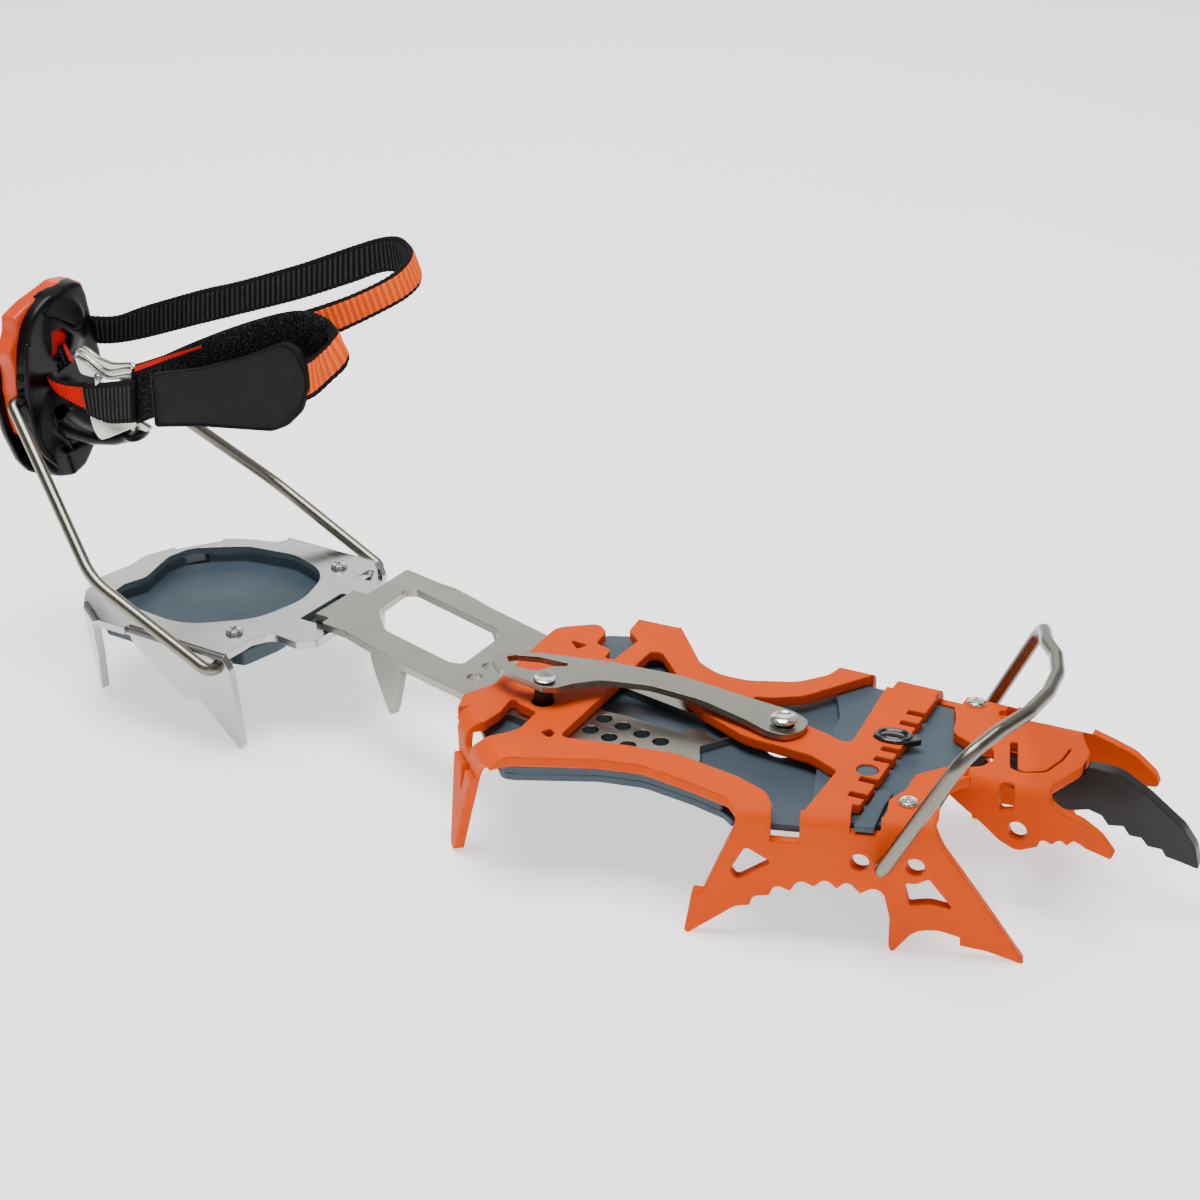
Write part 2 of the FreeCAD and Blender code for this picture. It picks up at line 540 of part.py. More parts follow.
# ---------------------------------------------------------------- linking bar
BAR_EDGE = [
    (6.8, 33.8, 1), (22.3, 30.8, 8), (28.7, 30.3, 10), (41.2, 26.5, 10), (46.4, 24.5, 10), (74.4, 16.9, 4),
    (95, 12.6), (141.3, 4.6, 1.5), (142, -3.9, 1), (104.5, 1.3, 2), (103.5, -8, 3), (112.7, -15.3, 6),
    (124, -14.4, 3), (139.3, -15.3, 1), (140, -11.2, 1.5), (143, -10.1, 2), (149.8, -13.2, 2),
    (154.6, -6.4, 1), (147.9, -18.8, 1), (152.2, -26.5, 3), (148, -37.2, 3), (115, -34.6), (75.3, -28.8),
    (46.5, -22.5), (24.9, -16, 4), (17.1, -13.5, 4), (7.2, -12.8, 1), (7.2, -8.5, 1), (1.5, -8.5),
    (1.5, 11.5), (7.2, 11.5, 1),
]
BAR_WINDOW = [
    (15.8, 20.4, 2), (18.6, 22.8, 3), (57.1, 12.7, 5), (61, 8, 6), (61.6, -12.5, 2.5), (57, -13.6, 4),
    (27, -6.2, 10), (17, 4, 8),
]
FAR_ROW = (109.3, -18.3)
NEAR_ROW = (109.3, -25.9)


def bar_holes():
    angle = math.radians(dim("adjust_angle"))
    pitch = dim("adjust_pitch")
    spots = []
    for start, first, last in [(FAR_ROW, -3, 5), (NEAR_ROW, 0, 4)]:
        for step in range(first, last):
            reach = pitch * step
            spots.append((start[0] + reach * math.cos(angle), start[1] + reach * math.sin(angle)))
    pin = FRONT.multVec(V(PIN_U, PIN_V, 0)) - GROUND.Base
    spots.append((pin.x, pin.y))
    spots.append((69.4, -17.6))
    spots.append((69.3, -9.3))
    radius = dim("adjust_hole_radius")
    return [(x, y, 3.1 if (x, y) == (pin.x, pin.y) else radius) for x, y in spots]


def linking_bar():
    low = dim("bar_top") - dim("bar_thick")
    bar = slab("bar_plate", [BAR_EDGE, BAR_WINDOW], flat(low), "bar_thick", bar_holes())
    tab = block("bar_tab", (1.5, -8.5, 27.5), (4.0, 11.5, low + 1))
    teeth = []
    spike = [(5.3, 37.5), (5.3, 33, 3), (8, 27, 6), (13.6, 17.2, 0.8), (15.2, 17.0, 0.6), (17, 21, 6),
             (20.5, 33, 3), (20.5, 37.5)]
    teeth.append(slab("bar_near_tooth", [spike], upright(24.9, -16, -16.7), "bar_thick", back=True))
    far_spike = [(2, 37.5), (2, 33, 3), (6, 26, 6), (11.6, 17.2, 0.8), (13.2, 17.0, 0.6), (15, 21, 6),
                 (17.5, 33, 3), (17.5, 37.5)]
    teeth.append(slab("bar_far_tooth", [far_spike], upright(46.4, 24.5, -15.2), "bar_thick"))
    return fuse("bar", [bar, tab] + teeth)


# ---------------------------------------------------------------- heel plate
HEEL_EDGE = [
    (-60.8, -44.5), (-71.2, -37.9), (-77.4, -30, 5), (-80.6, -20, 6), (-78.4, -7, 6), (-79.5, 1, 8), (-74.5, 13), (-66.5, 25),
    (-59, 29.5, 8), (-48, 33), (-45, 39.2), (-9.2, 39.2), (-9, 36.6, 2), (-5, 33, 3), (3.6, 22, 3), (10, 8, 3), (10, -19, 3),
    (6, -23.5, 2.5), (-5, -22.5, 4), (-8, -29, 3), (-8.5, -42.7),
]
HEEL_EGG = [
    (-68, -30, 7), (-70, -20, 4), (-67.5, -12, 6), (-72, 4, 8), (-70, 14, 8), (-55, 25, 14),
    (-36, 28, 14), (-18, 22, 20), (-12, 2, 22), (-16, -17, 20), (-34, -33, 20),
]
HEEL_SLOT = [(-4.2, -9.6, 0.6), (4.4, -9.6, 0.6), (4.4, 12.4, 0.6), (-4.2, 12.4, 0.6)]
HEEL_TRIANGLE = [(-7.6, 25, 0.6), (-7.4, 32.2, 0.6), (-5, 31.2, 0.8), (-1.4, 24.4, 0.8)]
HEEL_SCREWS = [(-15.7, -28.3), (-17.4, 28.0)]
FLANGE = [
    (-47, 34.9), (-46, 30, 3), (-28, 13.6, 1), (-26, 13.4, 1), (-22.5, 16.6, 3), (-8.2, 0.5, 0.6),
    (-7.2, 0.1, 0.4), (-6.4, 0.8, 0.4), (-6, 30, 3), (-8.6, 34.9),
]
HEEL_SPIKE = [
    (0, 34.9), (-1.5, 24, 10), (-5.2, 1.4, 0.6), (-4.4, 0.4, 0.5), (-3, 1.2, 0.6), (8, 21, 10), (12.6, 34.9),
]


def heel_plate():
    low = dim("heel_top") - dim("heel_thick")
    plate = slab("heel_web", [HEEL_EDGE, HEEL_EGG, HEEL_SLOT, HEEL_TRIANGLE], flat(low), "heel_thick",
                 [(x, y, 1.8) for x, y in HEEL_SCREWS])
    near = slab("heel_near_wall", [FLANGE], upright(0, -39.1, 0, tilt=7.3), "heel_thick", back=True)
    far = slab("heel_far_wall", [FLANGE], upright(0, 35.6, 0, tilt=-7.3), "heel_thick")
    near_spike = slab("heel_near_spike", [HEEL_SPIKE], upright(-69.1, -34.55, -32.5, tilt=7.3),
                      "heel_thick", back=True)
    far_spike = slab("heel_far_spike", [HEEL_SPIKE], upright(-70.8, 10.5, 56.3, tilt=-7.3), "heel_thick")
    whole = fuse("heel_fused", [plate, near, far, near_spike, far_spike])
    x = dim("heel_pivot_x")
    z = dim("heel_pivot_z")
    bore = rod("heel_bore", (x, -60, z), (x, 60, z), "wire_hole_radius")
    top = dim("heel_top")
    tools = [bore]
    tools.append(rolled_edge("heel_near_fold", 0, -43.54, 0, -48, -7, 2.5, top))
    tools.append(rolled_edge("heel_far_fold", 0, 40.04, 0, -48, -7, 2.5, top, far=True))
    tools.append(rolled_edge("heel_near_spike_fold", -71.5, -38.3, -32.5, -2, 14, 2.5, top))
    tools.append(rolled_edge("heel_far_spike_fold", -74.5, 13, 56.3, -2, 15, 2.5, top, far=True))
    return cut("heel_cut", whole, tools)


HEEL_PAD = [
    (-60, -39.2, 2), (-70, -32, 3), (-76, -20, 6), (-75, -9, 6), (-76.5, 0, 8), (-71, 10.8, 4),
    (-62.3, 21.3, 4), (-57, 28, 6), (-47, 32, 2), (-45, 35.2, 1), (-18, 35.2, 1), (-18, 31.5, 1),
    (-8, 31.5, 2), (-5.5, 18, 1), (-5.5, 13.5), (0.6, 13.5), (0.6, -10.6), (-5.5, -10.6), (-5.5, -20, 3), (-8, -33, 2), (-18, -35.5, 1), (-18, -39.2, 1),
]


def heel_antiball():
    low = 27.0
    top = dim("heel_top") - dim("heel_thick") - 0.3
    body = slab("heel_pad", [HEEL_PAD], flat(low), top - low)
    pocket = slab("heel_pocket", [HEEL_EGG], flat(29.0), 6.0)
    tools = [pocket]
    for number, (x, y) in enumerate(HEEL_SCREWS):
        tools.append(rod("heel_pad_screw_%d" % number, (x, y, 20), (x, y, 40), 1.65))
    return cut("heel_pad_cut", body, tools)


def heel_screws():
    parts = []
    top = dim("heel_top")
    for number, (x, y) in enumerate(HEEL_SCREWS):
        head = rod("heel_screw_head_%d" % number, (x, y, top), (x, y, top + 1.5), "screw_head_radius")
        shank = rod("heel_screw_shank_%d" % number, (x, y, 25.5), (x, y, top + 0.5), "screw_shank_radius")
        parts.append(fuse("heel_screw_%d" % number, [head, shank]))
    return group_solids("heel_screws", parts)


# ---------------------------------------------------------------- wire bails
def toe_bail():
    u = dim("bail_hole_u")
    z = dim("bail_hole_z")
    path = [(u, -43, z), (u, -53.5, z, 3), (26.5, -50, 66, 9), (32, -38.5, 69.5, 8), (36.6, -27, 70.5, 9),
            (38.4, -14, 70.5, 12), (37.8, -2, 70.5, 12), (34.6, 8.5, 70.3, 9), (30, 16, 69.8, 8),
            (25, 32, 66.5, 8), (u, 35.6, z, 3), (u, 25, z)]
    return wire_rod("toe_bail_wire", path, FRONT, "wire_radius")


def heel_bail():
    x = dim("heel_pivot_x")
    z = dim("heel_pivot_z")
    mid = dim("heel_mid_y")
    axle_x = dim("heel_axle_x")
    axle_z = dim("heel_axle_z")
    half = [(x, 36.0, z), (x, 44.9, z, 3), (-56, 46, 51, 30), (axle_x, 22.5, axle_z, 3)]
    near = [(p[0], mid - p[1]) + tuple(p[2:]) for p in half]
    far = [(p[0], mid + p[1]) + tuple(p[2:]) for p in reversed(half)]
    return wire_rod("heel_bail_wire", near + far, GROUND, "wire_radius")


# ---------------------------------------------------------------- heel lever
LEVER_FACE = [
    (-20.5, 70, 8), (-20.5, 106, 14), (-12.5, 123, 8), (6, 127, 8), (13, 122, 6), (17, 106, 12),
    (17, 74, 10), (8, 64, 6), (-4, 60, 5), (-13, 60.5, 5),
]
BEAK = [
    (-106, 86), (-94, 80, 6), (-78, 84.5, 3), (-72, 84, 1.5), (-72.5, 80, 2), (-88, 73, 6), (-100, 66, 3),
    (-106, 63),
]
BODY_FRONT = -104.0
BODY_BACK = -110.5


def grown(points, amount, middle=(-1.75, 95.0)):
    out = []
    for p in points:
        ray = V(p[0] - middle[0], p[1] - middle[1], 0)
        move = ray.normalize() * amount
        out.append((p[0] + move.x, p[1] + move.y, p[2] + amount))
    return out


def heel_lever_body():
    shell = slab("lever_shell", [LEVER_FACE], upright(BODY_BACK, 0, 90), BODY_FRONT - BODY_BACK)
    beak = slab("lever_beak", [BEAK], upright(0, 9.0, 0), 22.0)
    whole = fuse("lever_body", [shell, beak])
    mid = dim("heel_mid_y")
    x = dim("heel_axle_x")
    z = dim("heel_axle_z")
    bore = rod("lever_axle_bore", (x, mid - 30, z), (x, mid + 30, z), dim("wire_radius") + 0.06)
    return cut("lever_body_cut", whole, [bore])


# ---------------------------------------------------------------- strap
def band(name, points, width, thick, group=GROUND):
    """Upright webbing that follows a plan route while its height changes."""
    parts = []
    for number in range(len(points) - 1):
        a = V(*points[number])
        b = V(*points[number + 1])
        run = math.hypot(b.x - a.x, b.y - a.y)
        angle = math.degrees(math.atan2(b.y - a.y, b.x - a.x))
        over = 0.45 * thick if number < len(points) - 2 else 0.0
        under = 0.45 * thick if number > 0 else 0.0
        rise = (b.z - a.z) / run
        low = a.z - under * rise
        high = b.z + over * rise
        outline = [(-under, low - width / 2), (run + over, high - width / 2),
                   (run + over, high + width / 2), (-under, low + width / 2)]
        shift = V(-math.sin(math.radians(angle)), math.cos(math.radians(angle)), 0) * (thick / 2)
        place = upright(a.x + shift.x, a.y + shift.y, angle, group)
        parts.append(slab("%s_%d" % (name, number), [outline], place, thick))
    return fuse(name, parts)


STRAP_ROUTE = [
    (-103.7, 15.6, 107.0), (-89, 19, 110.6), (-67, 25, 118.3), (-31, 33, 131.5), (-7.5, 35.5, 141),
    (8, 34.5, 147), (19.5, 27.5, 147.3), (25.4, 17, 144), (23, 8, 140.6), (12, -3, 136.0),
    (8.2, -9, 132.5), (11.5, -13.5, 129.5), (16.5, -17.0, 126), (12, -19.8, 124.0), (-24, -19.6, 113.0),
    (-56.5, -19.0, 102.5),
]


LEVER_BACK = [
    (-19.5, 66, 8), (-20, 98, 12), (-14, 110, 8), (10, 110, 8), (16, 98, 10), (15.5, 72, 8), (6, 62, 6),
    (-12, 60, 6),
]


def buckle():
    outer = [(0, 84.5, 3), (-1, 108.5, 3), (6, 112.8, 4), (29, 113.5, 4), (30, 89.5, 4), (8, 83, 4)]
    slot = [(4.5, 92, 1), (4.5, 106, 1), (8.5, 106, 1), (8.5, 92, 1)]
    other = [(20, 92, 1), (20, 107, 1), (25.5, 107, 1), (25.5, 92, 1)]
    return slab("buckle_plate", [outer, slot, other], upright(-87.5, -12.4, -6), 1.8)


keep("front_antiball", front_antiball())
keep("antiball_clip", antiball_clip())
keep("front_screws", front_screws())
keep("front_point", front_point())
keep("front_point_bolt", front_point_bolts())
keep("front_point_spacers", front_point_spacers())
keep("lever_rivet", lever_rivet())
keep("leaf_lever", leaf_lever())
keep("lever_pin", lever_pin())
keep("linking_bar", linking_bar())
keep("heel_plate", heel_plate())
keep("heel_antiball", heel_antiball())
keep("heel_screws", heel_screws())
keep("toe_bail", toe_bail())
keep("heel_bail", heel_bail())
keep("heel_lever_body", heel_lever_body())
keep("heel_lever_cover", slab("lever_cover", [grown(LEVER_FACE, 1.2)], upright(-113.0, 0, 90), 2.3))
keep("heel_lever_back", slab("lever_back", [LEVER_BACK], upright(-116.0, 0, 90), 2.8))
keep("strap_loop", band("strap_loop", STRAP_ROUTE, dim("strap_width"), dim("strap_thick")))
keep("strap_hook_patch", band("hook_patch", [(8, -21.9, 122.2), (-56, -21.1, 101.8)], 15.0, 1.4))
keep("strap_tab", band("tab", [(16.5, -24.0, 124.6), (-50, -22.9, 103.6)], 18.0, 1.8))
keep("strap_anchor", band("anchor", [(-103.2, -7, 102.5), (-96, -13.5, 100.2), (-85.2, -17.0, 98.5)],
                          dim("strap_width"), dim("strap_thick")))
keep("strap_keeper", band("keeper", [(-84.5, -19.2, 97.6), (-62, -21.8, 102.0)], 15.5, 1.8))
keep("buckle", buckle())

# ---------------------------------------------------------------- checks and export
doc.recompute()
for item in doc.Objects:
    bad = [word for word in ("Invalid", "Error") if word in item.State]
    if bad:
        raise RuntimeError("%s is %s" % (item.Name, bad))
os.makedirs("parts", exist_ok=True)
for label, body in nodes.items():
    if body.Shape.isNull() or not body.Shape.isValid():
        raise RuntimeError(label + " has no valid shape")
    body.Shape.exportStep("parts/%s.step" % label)
    print(label, len(body.Shape.Solids), round(body.Shape.Volume / 1000, 2), "cm3",
          [round(v, 2) for v in (body.Shape.BoundBox.XMin, body.Shape.BoundBox.XMax, body.Shape.BoundBox.YMin,
                                 body.Shape.BoundBox.YMax, body.Shape.BoundBox.ZMin, body.Shape.BoundBox.ZMax)])
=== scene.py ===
import bpy, bmesh, math, json, random
from mathutils import Vector, Matrix


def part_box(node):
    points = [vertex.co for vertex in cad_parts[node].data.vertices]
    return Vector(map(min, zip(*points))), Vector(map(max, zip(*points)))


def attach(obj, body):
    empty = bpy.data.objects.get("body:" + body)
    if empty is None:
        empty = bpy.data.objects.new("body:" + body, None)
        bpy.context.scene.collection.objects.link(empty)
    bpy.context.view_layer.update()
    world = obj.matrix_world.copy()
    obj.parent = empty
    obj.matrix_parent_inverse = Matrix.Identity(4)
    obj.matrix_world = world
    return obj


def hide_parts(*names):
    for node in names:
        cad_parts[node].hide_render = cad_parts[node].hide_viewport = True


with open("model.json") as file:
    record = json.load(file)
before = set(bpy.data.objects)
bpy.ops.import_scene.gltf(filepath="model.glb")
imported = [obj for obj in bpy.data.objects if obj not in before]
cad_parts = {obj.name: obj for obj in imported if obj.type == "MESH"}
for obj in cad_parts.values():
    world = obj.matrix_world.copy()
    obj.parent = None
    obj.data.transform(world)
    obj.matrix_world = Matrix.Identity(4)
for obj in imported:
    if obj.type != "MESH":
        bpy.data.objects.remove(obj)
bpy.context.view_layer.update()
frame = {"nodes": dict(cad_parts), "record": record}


# ---------------------------------------------------------------- material helpers
def srgb(r, g, b):
    """Linear RGBA of an sRGB colour whose levels run from 0 to 255."""
    out = []
    for level in (r, g, b):
        c = level / 255
        out.append(c / 12.92 if level <= 10 else ((c + 0.055) / 1.055) ** 2.4)
    return tuple(out) + (1.0,)


def socket(node, name):
    """The input of that name that the node uses in its present mode."""
    return next(s for s in node.inputs if s.name == name and s.enabled)


class Mat:
    """A node material built step by step around one Principled shader."""

    def __init__(self, name, rough=0.5, metal=0.0, spec=0.5):
        self.material = bpy.data.materials.new(name)
        self.material.use_nodes = True
        self.tree = self.material.node_tree
        self.nodes = self.tree.nodes
        self.shader = next(x for x in self.nodes if x.type == "BSDF_PRINCIPLED")
        self.shader.inputs["Roughness"].default_value = rough
        self.shader.inputs["Metallic"].default_value = metal
        self.shader.inputs["Specular IOR Level"].default_value = spec
        self.coord = self.nodes.new("ShaderNodeTexCoord").outputs["Object"]

    def link(self, a, b):
        self.tree.links.new(a, b)

    def stretched(self, scale):
        """Object coordinates with their own scale along each axis."""
        node = self.nodes.new("ShaderNodeMapping")
        node.inputs["Scale"].default_value = scale
        self.link(self.coord, node.inputs["Vector"])
        return node.outputs["Vector"]

    def noise(self, scale, detail=3, rough=0.5, vector=None, distort=0.0):
        node = self.nodes.new("ShaderNodeTexNoise")
        node.inputs["Scale"].default_value = scale
        node.inputs["Detail"].default_value = detail
        node.inputs["Roughness"].default_value = rough
        node.inputs["Distortion"].default_value = distort
        self.link(vector if vector is not None else self.coord, node.inputs["Vector"])
        return node.outputs["Fac"]

    def ramp(self, fac, stops):
        node = self.nodes.new("ShaderNodeValToRGB")
        while len(node.color_ramp.elements) < len(stops):
            node.color_ramp.elements.new(0.5)
        for e, (at, c) in zip(node.color_ramp.elements, stops):
            e.position = at
            e.color = c if len(c) == 4 else tuple(c) + (1.0,)
        self.link(fac, node.inputs["Fac"])
        return node.outputs["Color"]

    def feed(self, value, target):
        """Set a constant on a socket, or link another node's output to it."""
        if isinstance(value, (int, float, tuple, list)):
            target.default_value = value
        else:
            self.link(value, target)

    def times(self, a, b):
        node = self.nodes.new("ShaderNodeMath")
        node.operation = "MULTIPLY"
        self.feed(a, node.inputs[0])
        self.feed(b, node.inputs[1])
        return node.outputs[0]

    def mix(self, fac, a, b):
        node = self.nodes.new("ShaderNodeMix")
        node.data_type = "RGBA"
        for name, value in (("Factor", fac), ("A", a), ("B", b)):
            self.feed(value, socket(node, name))
        return next(s for s in node.outputs if s.enabled)

    def bevel(self, radius, samples=4):
        """Normal that rounds the edges by a radius in metres."""
        node = self.nodes.new("ShaderNodeBevel")
        node.samples = samples
        node.inputs["Radius"].default_value = radius
        return node.outputs["Normal"]

    def edge(self, normal, low, high):
        """1 on a rounded edge, 0 on the flat."""
        geo = self.nodes.new("ShaderNodeNewGeometry")
        dot = self.nodes.new("ShaderNodeVectorMath")
        dot.operation = "DOT_PRODUCT"
        self.link(normal, dot.inputs[0])
        self.link(geo.outputs["Normal"], dot.inputs[1])
        fade = self.nodes.new("ShaderNodeMapRange")
        fade.inputs["From Min"].default_value = low
        fade.inputs["From Max"].default_value = high
        fade.inputs["To Min"].default_value = 1.0
        fade.inputs["To Max"].default_value = 0.0
        self.link(dot.outputs["Value"], fade.inputs["Value"])
        return fade.outputs["Result"]

    def bump(self, height, strength, distance, normal=None):
        node = self.nodes.new("ShaderNodeBump")
        node.inputs["Strength"].default_value = strength
        node.inputs["Distance"].default_value = distance
        self.link(height, node.inputs["Height"])
        if normal is not None:
            self.link(normal, node.inputs["Normal"])
        return node.outputs["Normal"]

    def set(self, name, value):
        self.feed(value, self.shader.inputs[name])


def powder_coat():
    """Orange powder coat, a little lighter on its edges: partly worn paint, partly a painted highlight."""
    mat = Mat("orange_powder_coat", rough=0.5, spec=0.07)
    round_n = mat.bevel(0.001, 6)
    fine = mat.noise(2600, 2, 0.5)
    broad = mat.noise(22, 4, 0.6)
    base = mat.ramp(broad, [(0.3, (0.6, 0.056, 0.0)), (0.7, (0.66, 0.066, 0.0))])
    edge = mat.edge(round_n, 0.82, 0.99)
    # edge mask times noise, mixed towards light orange: partly worn paint, partly a painted highlight along
    # the edges
    worn_and_highlight = mat.times(edge, mat.ramp(mat.noise(160, 4, 0.7), [(0.42, (0, 0, 0)), (0.62, (1, 1, 1))]))
    mat.set("Base Color", mat.mix(mat.times(worn_and_highlight, 0.5), base, (0.95, 0.2, 0.02, 1.0)))
    mat.set("Roughness", mat.ramp(mat.noise(60, 3), [(0.3, (0.46,) * 3), (0.7, (0.56,) * 3)]))
    mat.set("Normal", mat.bump(fine, 0.18, 0.00012, round_n))
    return mat.material


def stainless(name, rough, tint, scratch=0.5, stretch=(60, 900, 900)):
    """Bare steel with a fine grain; rough is its range of roughness."""
    mat = Mat(name, rough=0.3, metal=1.0)
    round_n = mat.bevel(0.0003)
    grain = mat.noise(1.0, 3, 0.6, mat.stretched(stretch))
    cloud = mat.noise(35, 3, 0.6)
    mat.set("Base Color", mat.ramp(cloud, [(0.3, srgb(*[c - 10 for c in tint])), (0.7, srgb(*tint))]))
    mat.set("Roughness", mat.ramp(grain, [(0.25, (rough[0],) * 3), (0.75, (rough[1],) * 3)]))
    mat.set("Normal", mat.bump(grain, scratch * 0.2, 0.00005, round_n))
    return mat.material


def plastic(name, colour, rough, spec=0.5, grain=0.12, scale=1400, vary=10):
    """Moulded plastic, or any dull fine-grained surface, in one slightly uneven colour."""
    mat = Mat(name, rough=rough, spec=spec)
    round_n = mat.bevel(0.0007)
    fine = mat.noise(scale, 3, 0.6)
    broad = mat.noise(30, 4, 0.6)
    lo = srgb(*[max(0, c - vary) for c in colour])
    mat.set("Base Color", mat.ramp(broad, [(0.3, lo), (0.72, srgb(*colour))]))
    mat.set("Roughness", mat.ramp(mat.noise(90, 3), [(0.3, (rough - 0.05,) * 3), (0.7, (rough + 0.06,) * 3)]))
    mat.set("Normal", mat.bump(fine, grain, 0.0001, round_n))
    return mat.material


def shell_plastic():
    """Glossy red-orange plastic of the heel lever's cover."""
    mat = Mat("orange_plastic", rough=0.28, spec=0.25)
    round_n = mat.bevel(0.0006)
    shades = [(0.3, (0.58, 0.045, 0.006)), (0.7, (0.66, 0.055, 0.009))]
    mat.set("Base Color", mat.ramp(mat.noise(30, 4), shades))
    mat.set("Roughness", mat.ramp(mat.noise(90, 3), [(0.3, (0.22,) * 3), (0.7, (0.34,) * 3)]))
    mat.set("Normal", mat.bump(mat.noise(1400), 0.04, 0.0001, round_n))
    return mat.material


def weave(name, low, high):
    """Woven yarn between a dark and a light colour."""
    mat = Mat(name, rough=0.85, spec=0.1)
    yarn = mat.noise(1.0, 3, 0.6, mat.stretched((2600, 2600, 900)))
    speck = mat.noise(3800, 2, 0.7)
    mat.set("Base Color", mat.mix(mat.times(yarn, speck), srgb(*low), srgb(*high)))
    mat.set("Roughness", mat.ramp(speck, [(0.3, (0.75,) * 3), (0.7, (0.92,) * 3)]))
    mat.set("Normal", mat.bump(yarn, 0.5, 0.0002))
    return mat.material


def hook_cloth():
    """Black hook-and-loop pile with small glints."""
    mat = Mat("hook_tape", rough=0.95, spec=0.08)
    tuft = mat.noise(1500, 4, 0.75, distort=1.5)
    glint = mat.ramp(mat.noise(2300, 3, 0.7), [(0.52, (0, 0, 0)), (0.66, (1, 1, 1))])
    mat.set("Base Color", mat.mix(glint, srgb(6, 6, 7), srgb(74, 74, 76)))
    mat.set("Roughness", mat.ramp(tuft, [(0.3, (0.8,) * 3), (0.7, (1.0,) * 3)]))
    mat.set("Normal", mat.bump(tuft, 0.9, 0.0006))
    return mat.material


MAT = {
    "orange_powder_coat": powder_coat(),
    "stainless_bar": stainless("stainless_bar", (0.26, 0.38), (150, 148, 138)),
    "stainless_heel": stainless("stainless_heel", (0.15, 0.25), (176, 176, 174), 0.15),
    "spring_wire": stainless("spring_wire", (0.26, 0.34), (124, 121, 111), 0.03, (500, 500, 500)),
    "slate_plastic": plastic("slate_plastic", (62, 76, 86), 0.45, spec=0.25),
    "black_plastic": plastic("black_plastic", (9, 9, 11), 0.3, spec=0.16, grain=0.05, vary=4),
    "orange_plastic": shell_plastic(),
    "black_oxide": plastic("black_oxide", (20, 19, 19), 0.4, spec=0.3, vary=4),
    "screw_steel": stainless("screw_steel", (0.14, 0.24), (220, 220, 216), 0.1, (900, 900, 900)),
    "gloss_plastic": plastic("gloss_plastic", (14, 14, 15), 0.16, spec=0.6, grain=0.02),
    "webbing": weave("black_webbing", (6, 6, 7), (36, 36, 38)),
    "orange_webbing": weave("orange_webbing", (206, 54, 2), (250, 110, 22)),
    # the crest materials are a painted highlight: lighter colours put on the tops of the webbing ribs
    "black_crest_highlight": weave("black_webbing_crest_highlight", (22, 22, 24), (92, 92, 95)),
    "orange_crest_highlight": weave("orange_webbing_crest_highlight", (228, 74, 12), (255, 146, 66)),
    "red_webbing": weave("red_webbing", (190, 6, 2), (226, 26, 14)),
    "hook_tape": hook_cloth(),
    "tab_fabric": plastic("tab_fabric", (18, 15, 17), 0.6, spec=0.12, grain=0.2, scale=2400, vary=3),
    "buckle_steel": stainless("buckle_steel", (0.16, 0.26), (192, 192, 184), 0.1),
}

slots = {s["node"]: s["material_slot"] for s in frame["record"]["subparts"]}
for name, obj in frame["nodes"].items():
    obj.data.materials.clear()
    obj.data.materials.append(MAT[slots[name]])


# ---------------------------------------------------------------- placing and mesh helpers
black_webbing = MAT["webbing"]
orange_webbing = MAT["orange_webbing"]
red_webbing = MAT["red_webbing"]
hook_tape = MAT["hook_tape"]
LEVER_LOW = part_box("heel_lever_body")[0]
# The drawing numbers below are millimetres from a drawing origin on the floor.
# The low corner of the lever body lies 110.5 mm behind it and 20.5 mm to its side.
ORIGIN = Vector((LEVER_LOW.x + 0.1105, LEVER_LOW.y + 0.0205, 0))


def at(x, y, z):
    """A drawing point in metres, in the frame."""
    return ORIGIN + Vector((x, y, z)) / 1000


def add(name, mesh, body, materials, smooth=True):
    obj = bpy.data.objects.new(name, mesh)
    bpy.context.scene.collection.objects.link(obj)
    for m in materials:
        mesh.materials.append(m)
    if smooth:
        for f in mesh.polygons:
            f.use_smooth = True
    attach(obj, body)
    return obj


def from_bmesh(name, bm, body, materials, smooth=True):
    mesh = bpy.data.meshes.new(name)
    bmesh.ops.recalc_face_normals(bm, faces=bm.faces)
    bm.to_mesh(mesh)
    bm.free()
    return add(name, mesh, body, materials, smooth)


def loose(name, bm):
    """An object that no body carries yet: a tool for a boolean, or a blank still to be finished."""
    mesh = bpy.data.meshes.new(name)
    bm.to_mesh(mesh)
    bm.free()
    obj = bpy.data.objects.new(name, mesh)
    bpy.context.scene.collection.objects.link(obj)
    return obj


def bevel_mod(obj, width, segments=3):
    mod = obj.modifiers.new("bevel", "BEVEL")
    mod.width = width
    mod.segments = segments
    mod.limit_method = "ANGLE"
    mod.angle_limit = math.radians(35)
    mod.harden_normals = False


def auto_smooth(obj, degrees=40):
    for f in obj.data.polygons:
        f.use_smooth = True
    obj.data.set_sharp_from_angle(angle=math.radians(degrees))


def spline(points, count):
    """Catmull-Rom curve through points, resampled to count points."""
    p = [Vector(q) for q in points]
    p = [p[0] * 2 - p[1]] + p + [p[-1] * 2 - p[-2]]
    out = []
    spans = len(points) - 1
    for i in range(count):
        t = i / (count - 1) * spans
        k = min(int(t), spans - 1)
        t -= k
        a, b, c, d = p[k:k + 4]
        square = (2 * a - 5 * b + 4 * c - d) * t * t
        cube = (3 * b - a - 3 * c + d) * t ** 3
        out.append(0.5 * (2 * b + (c - a) * t + square + cube))
    return out


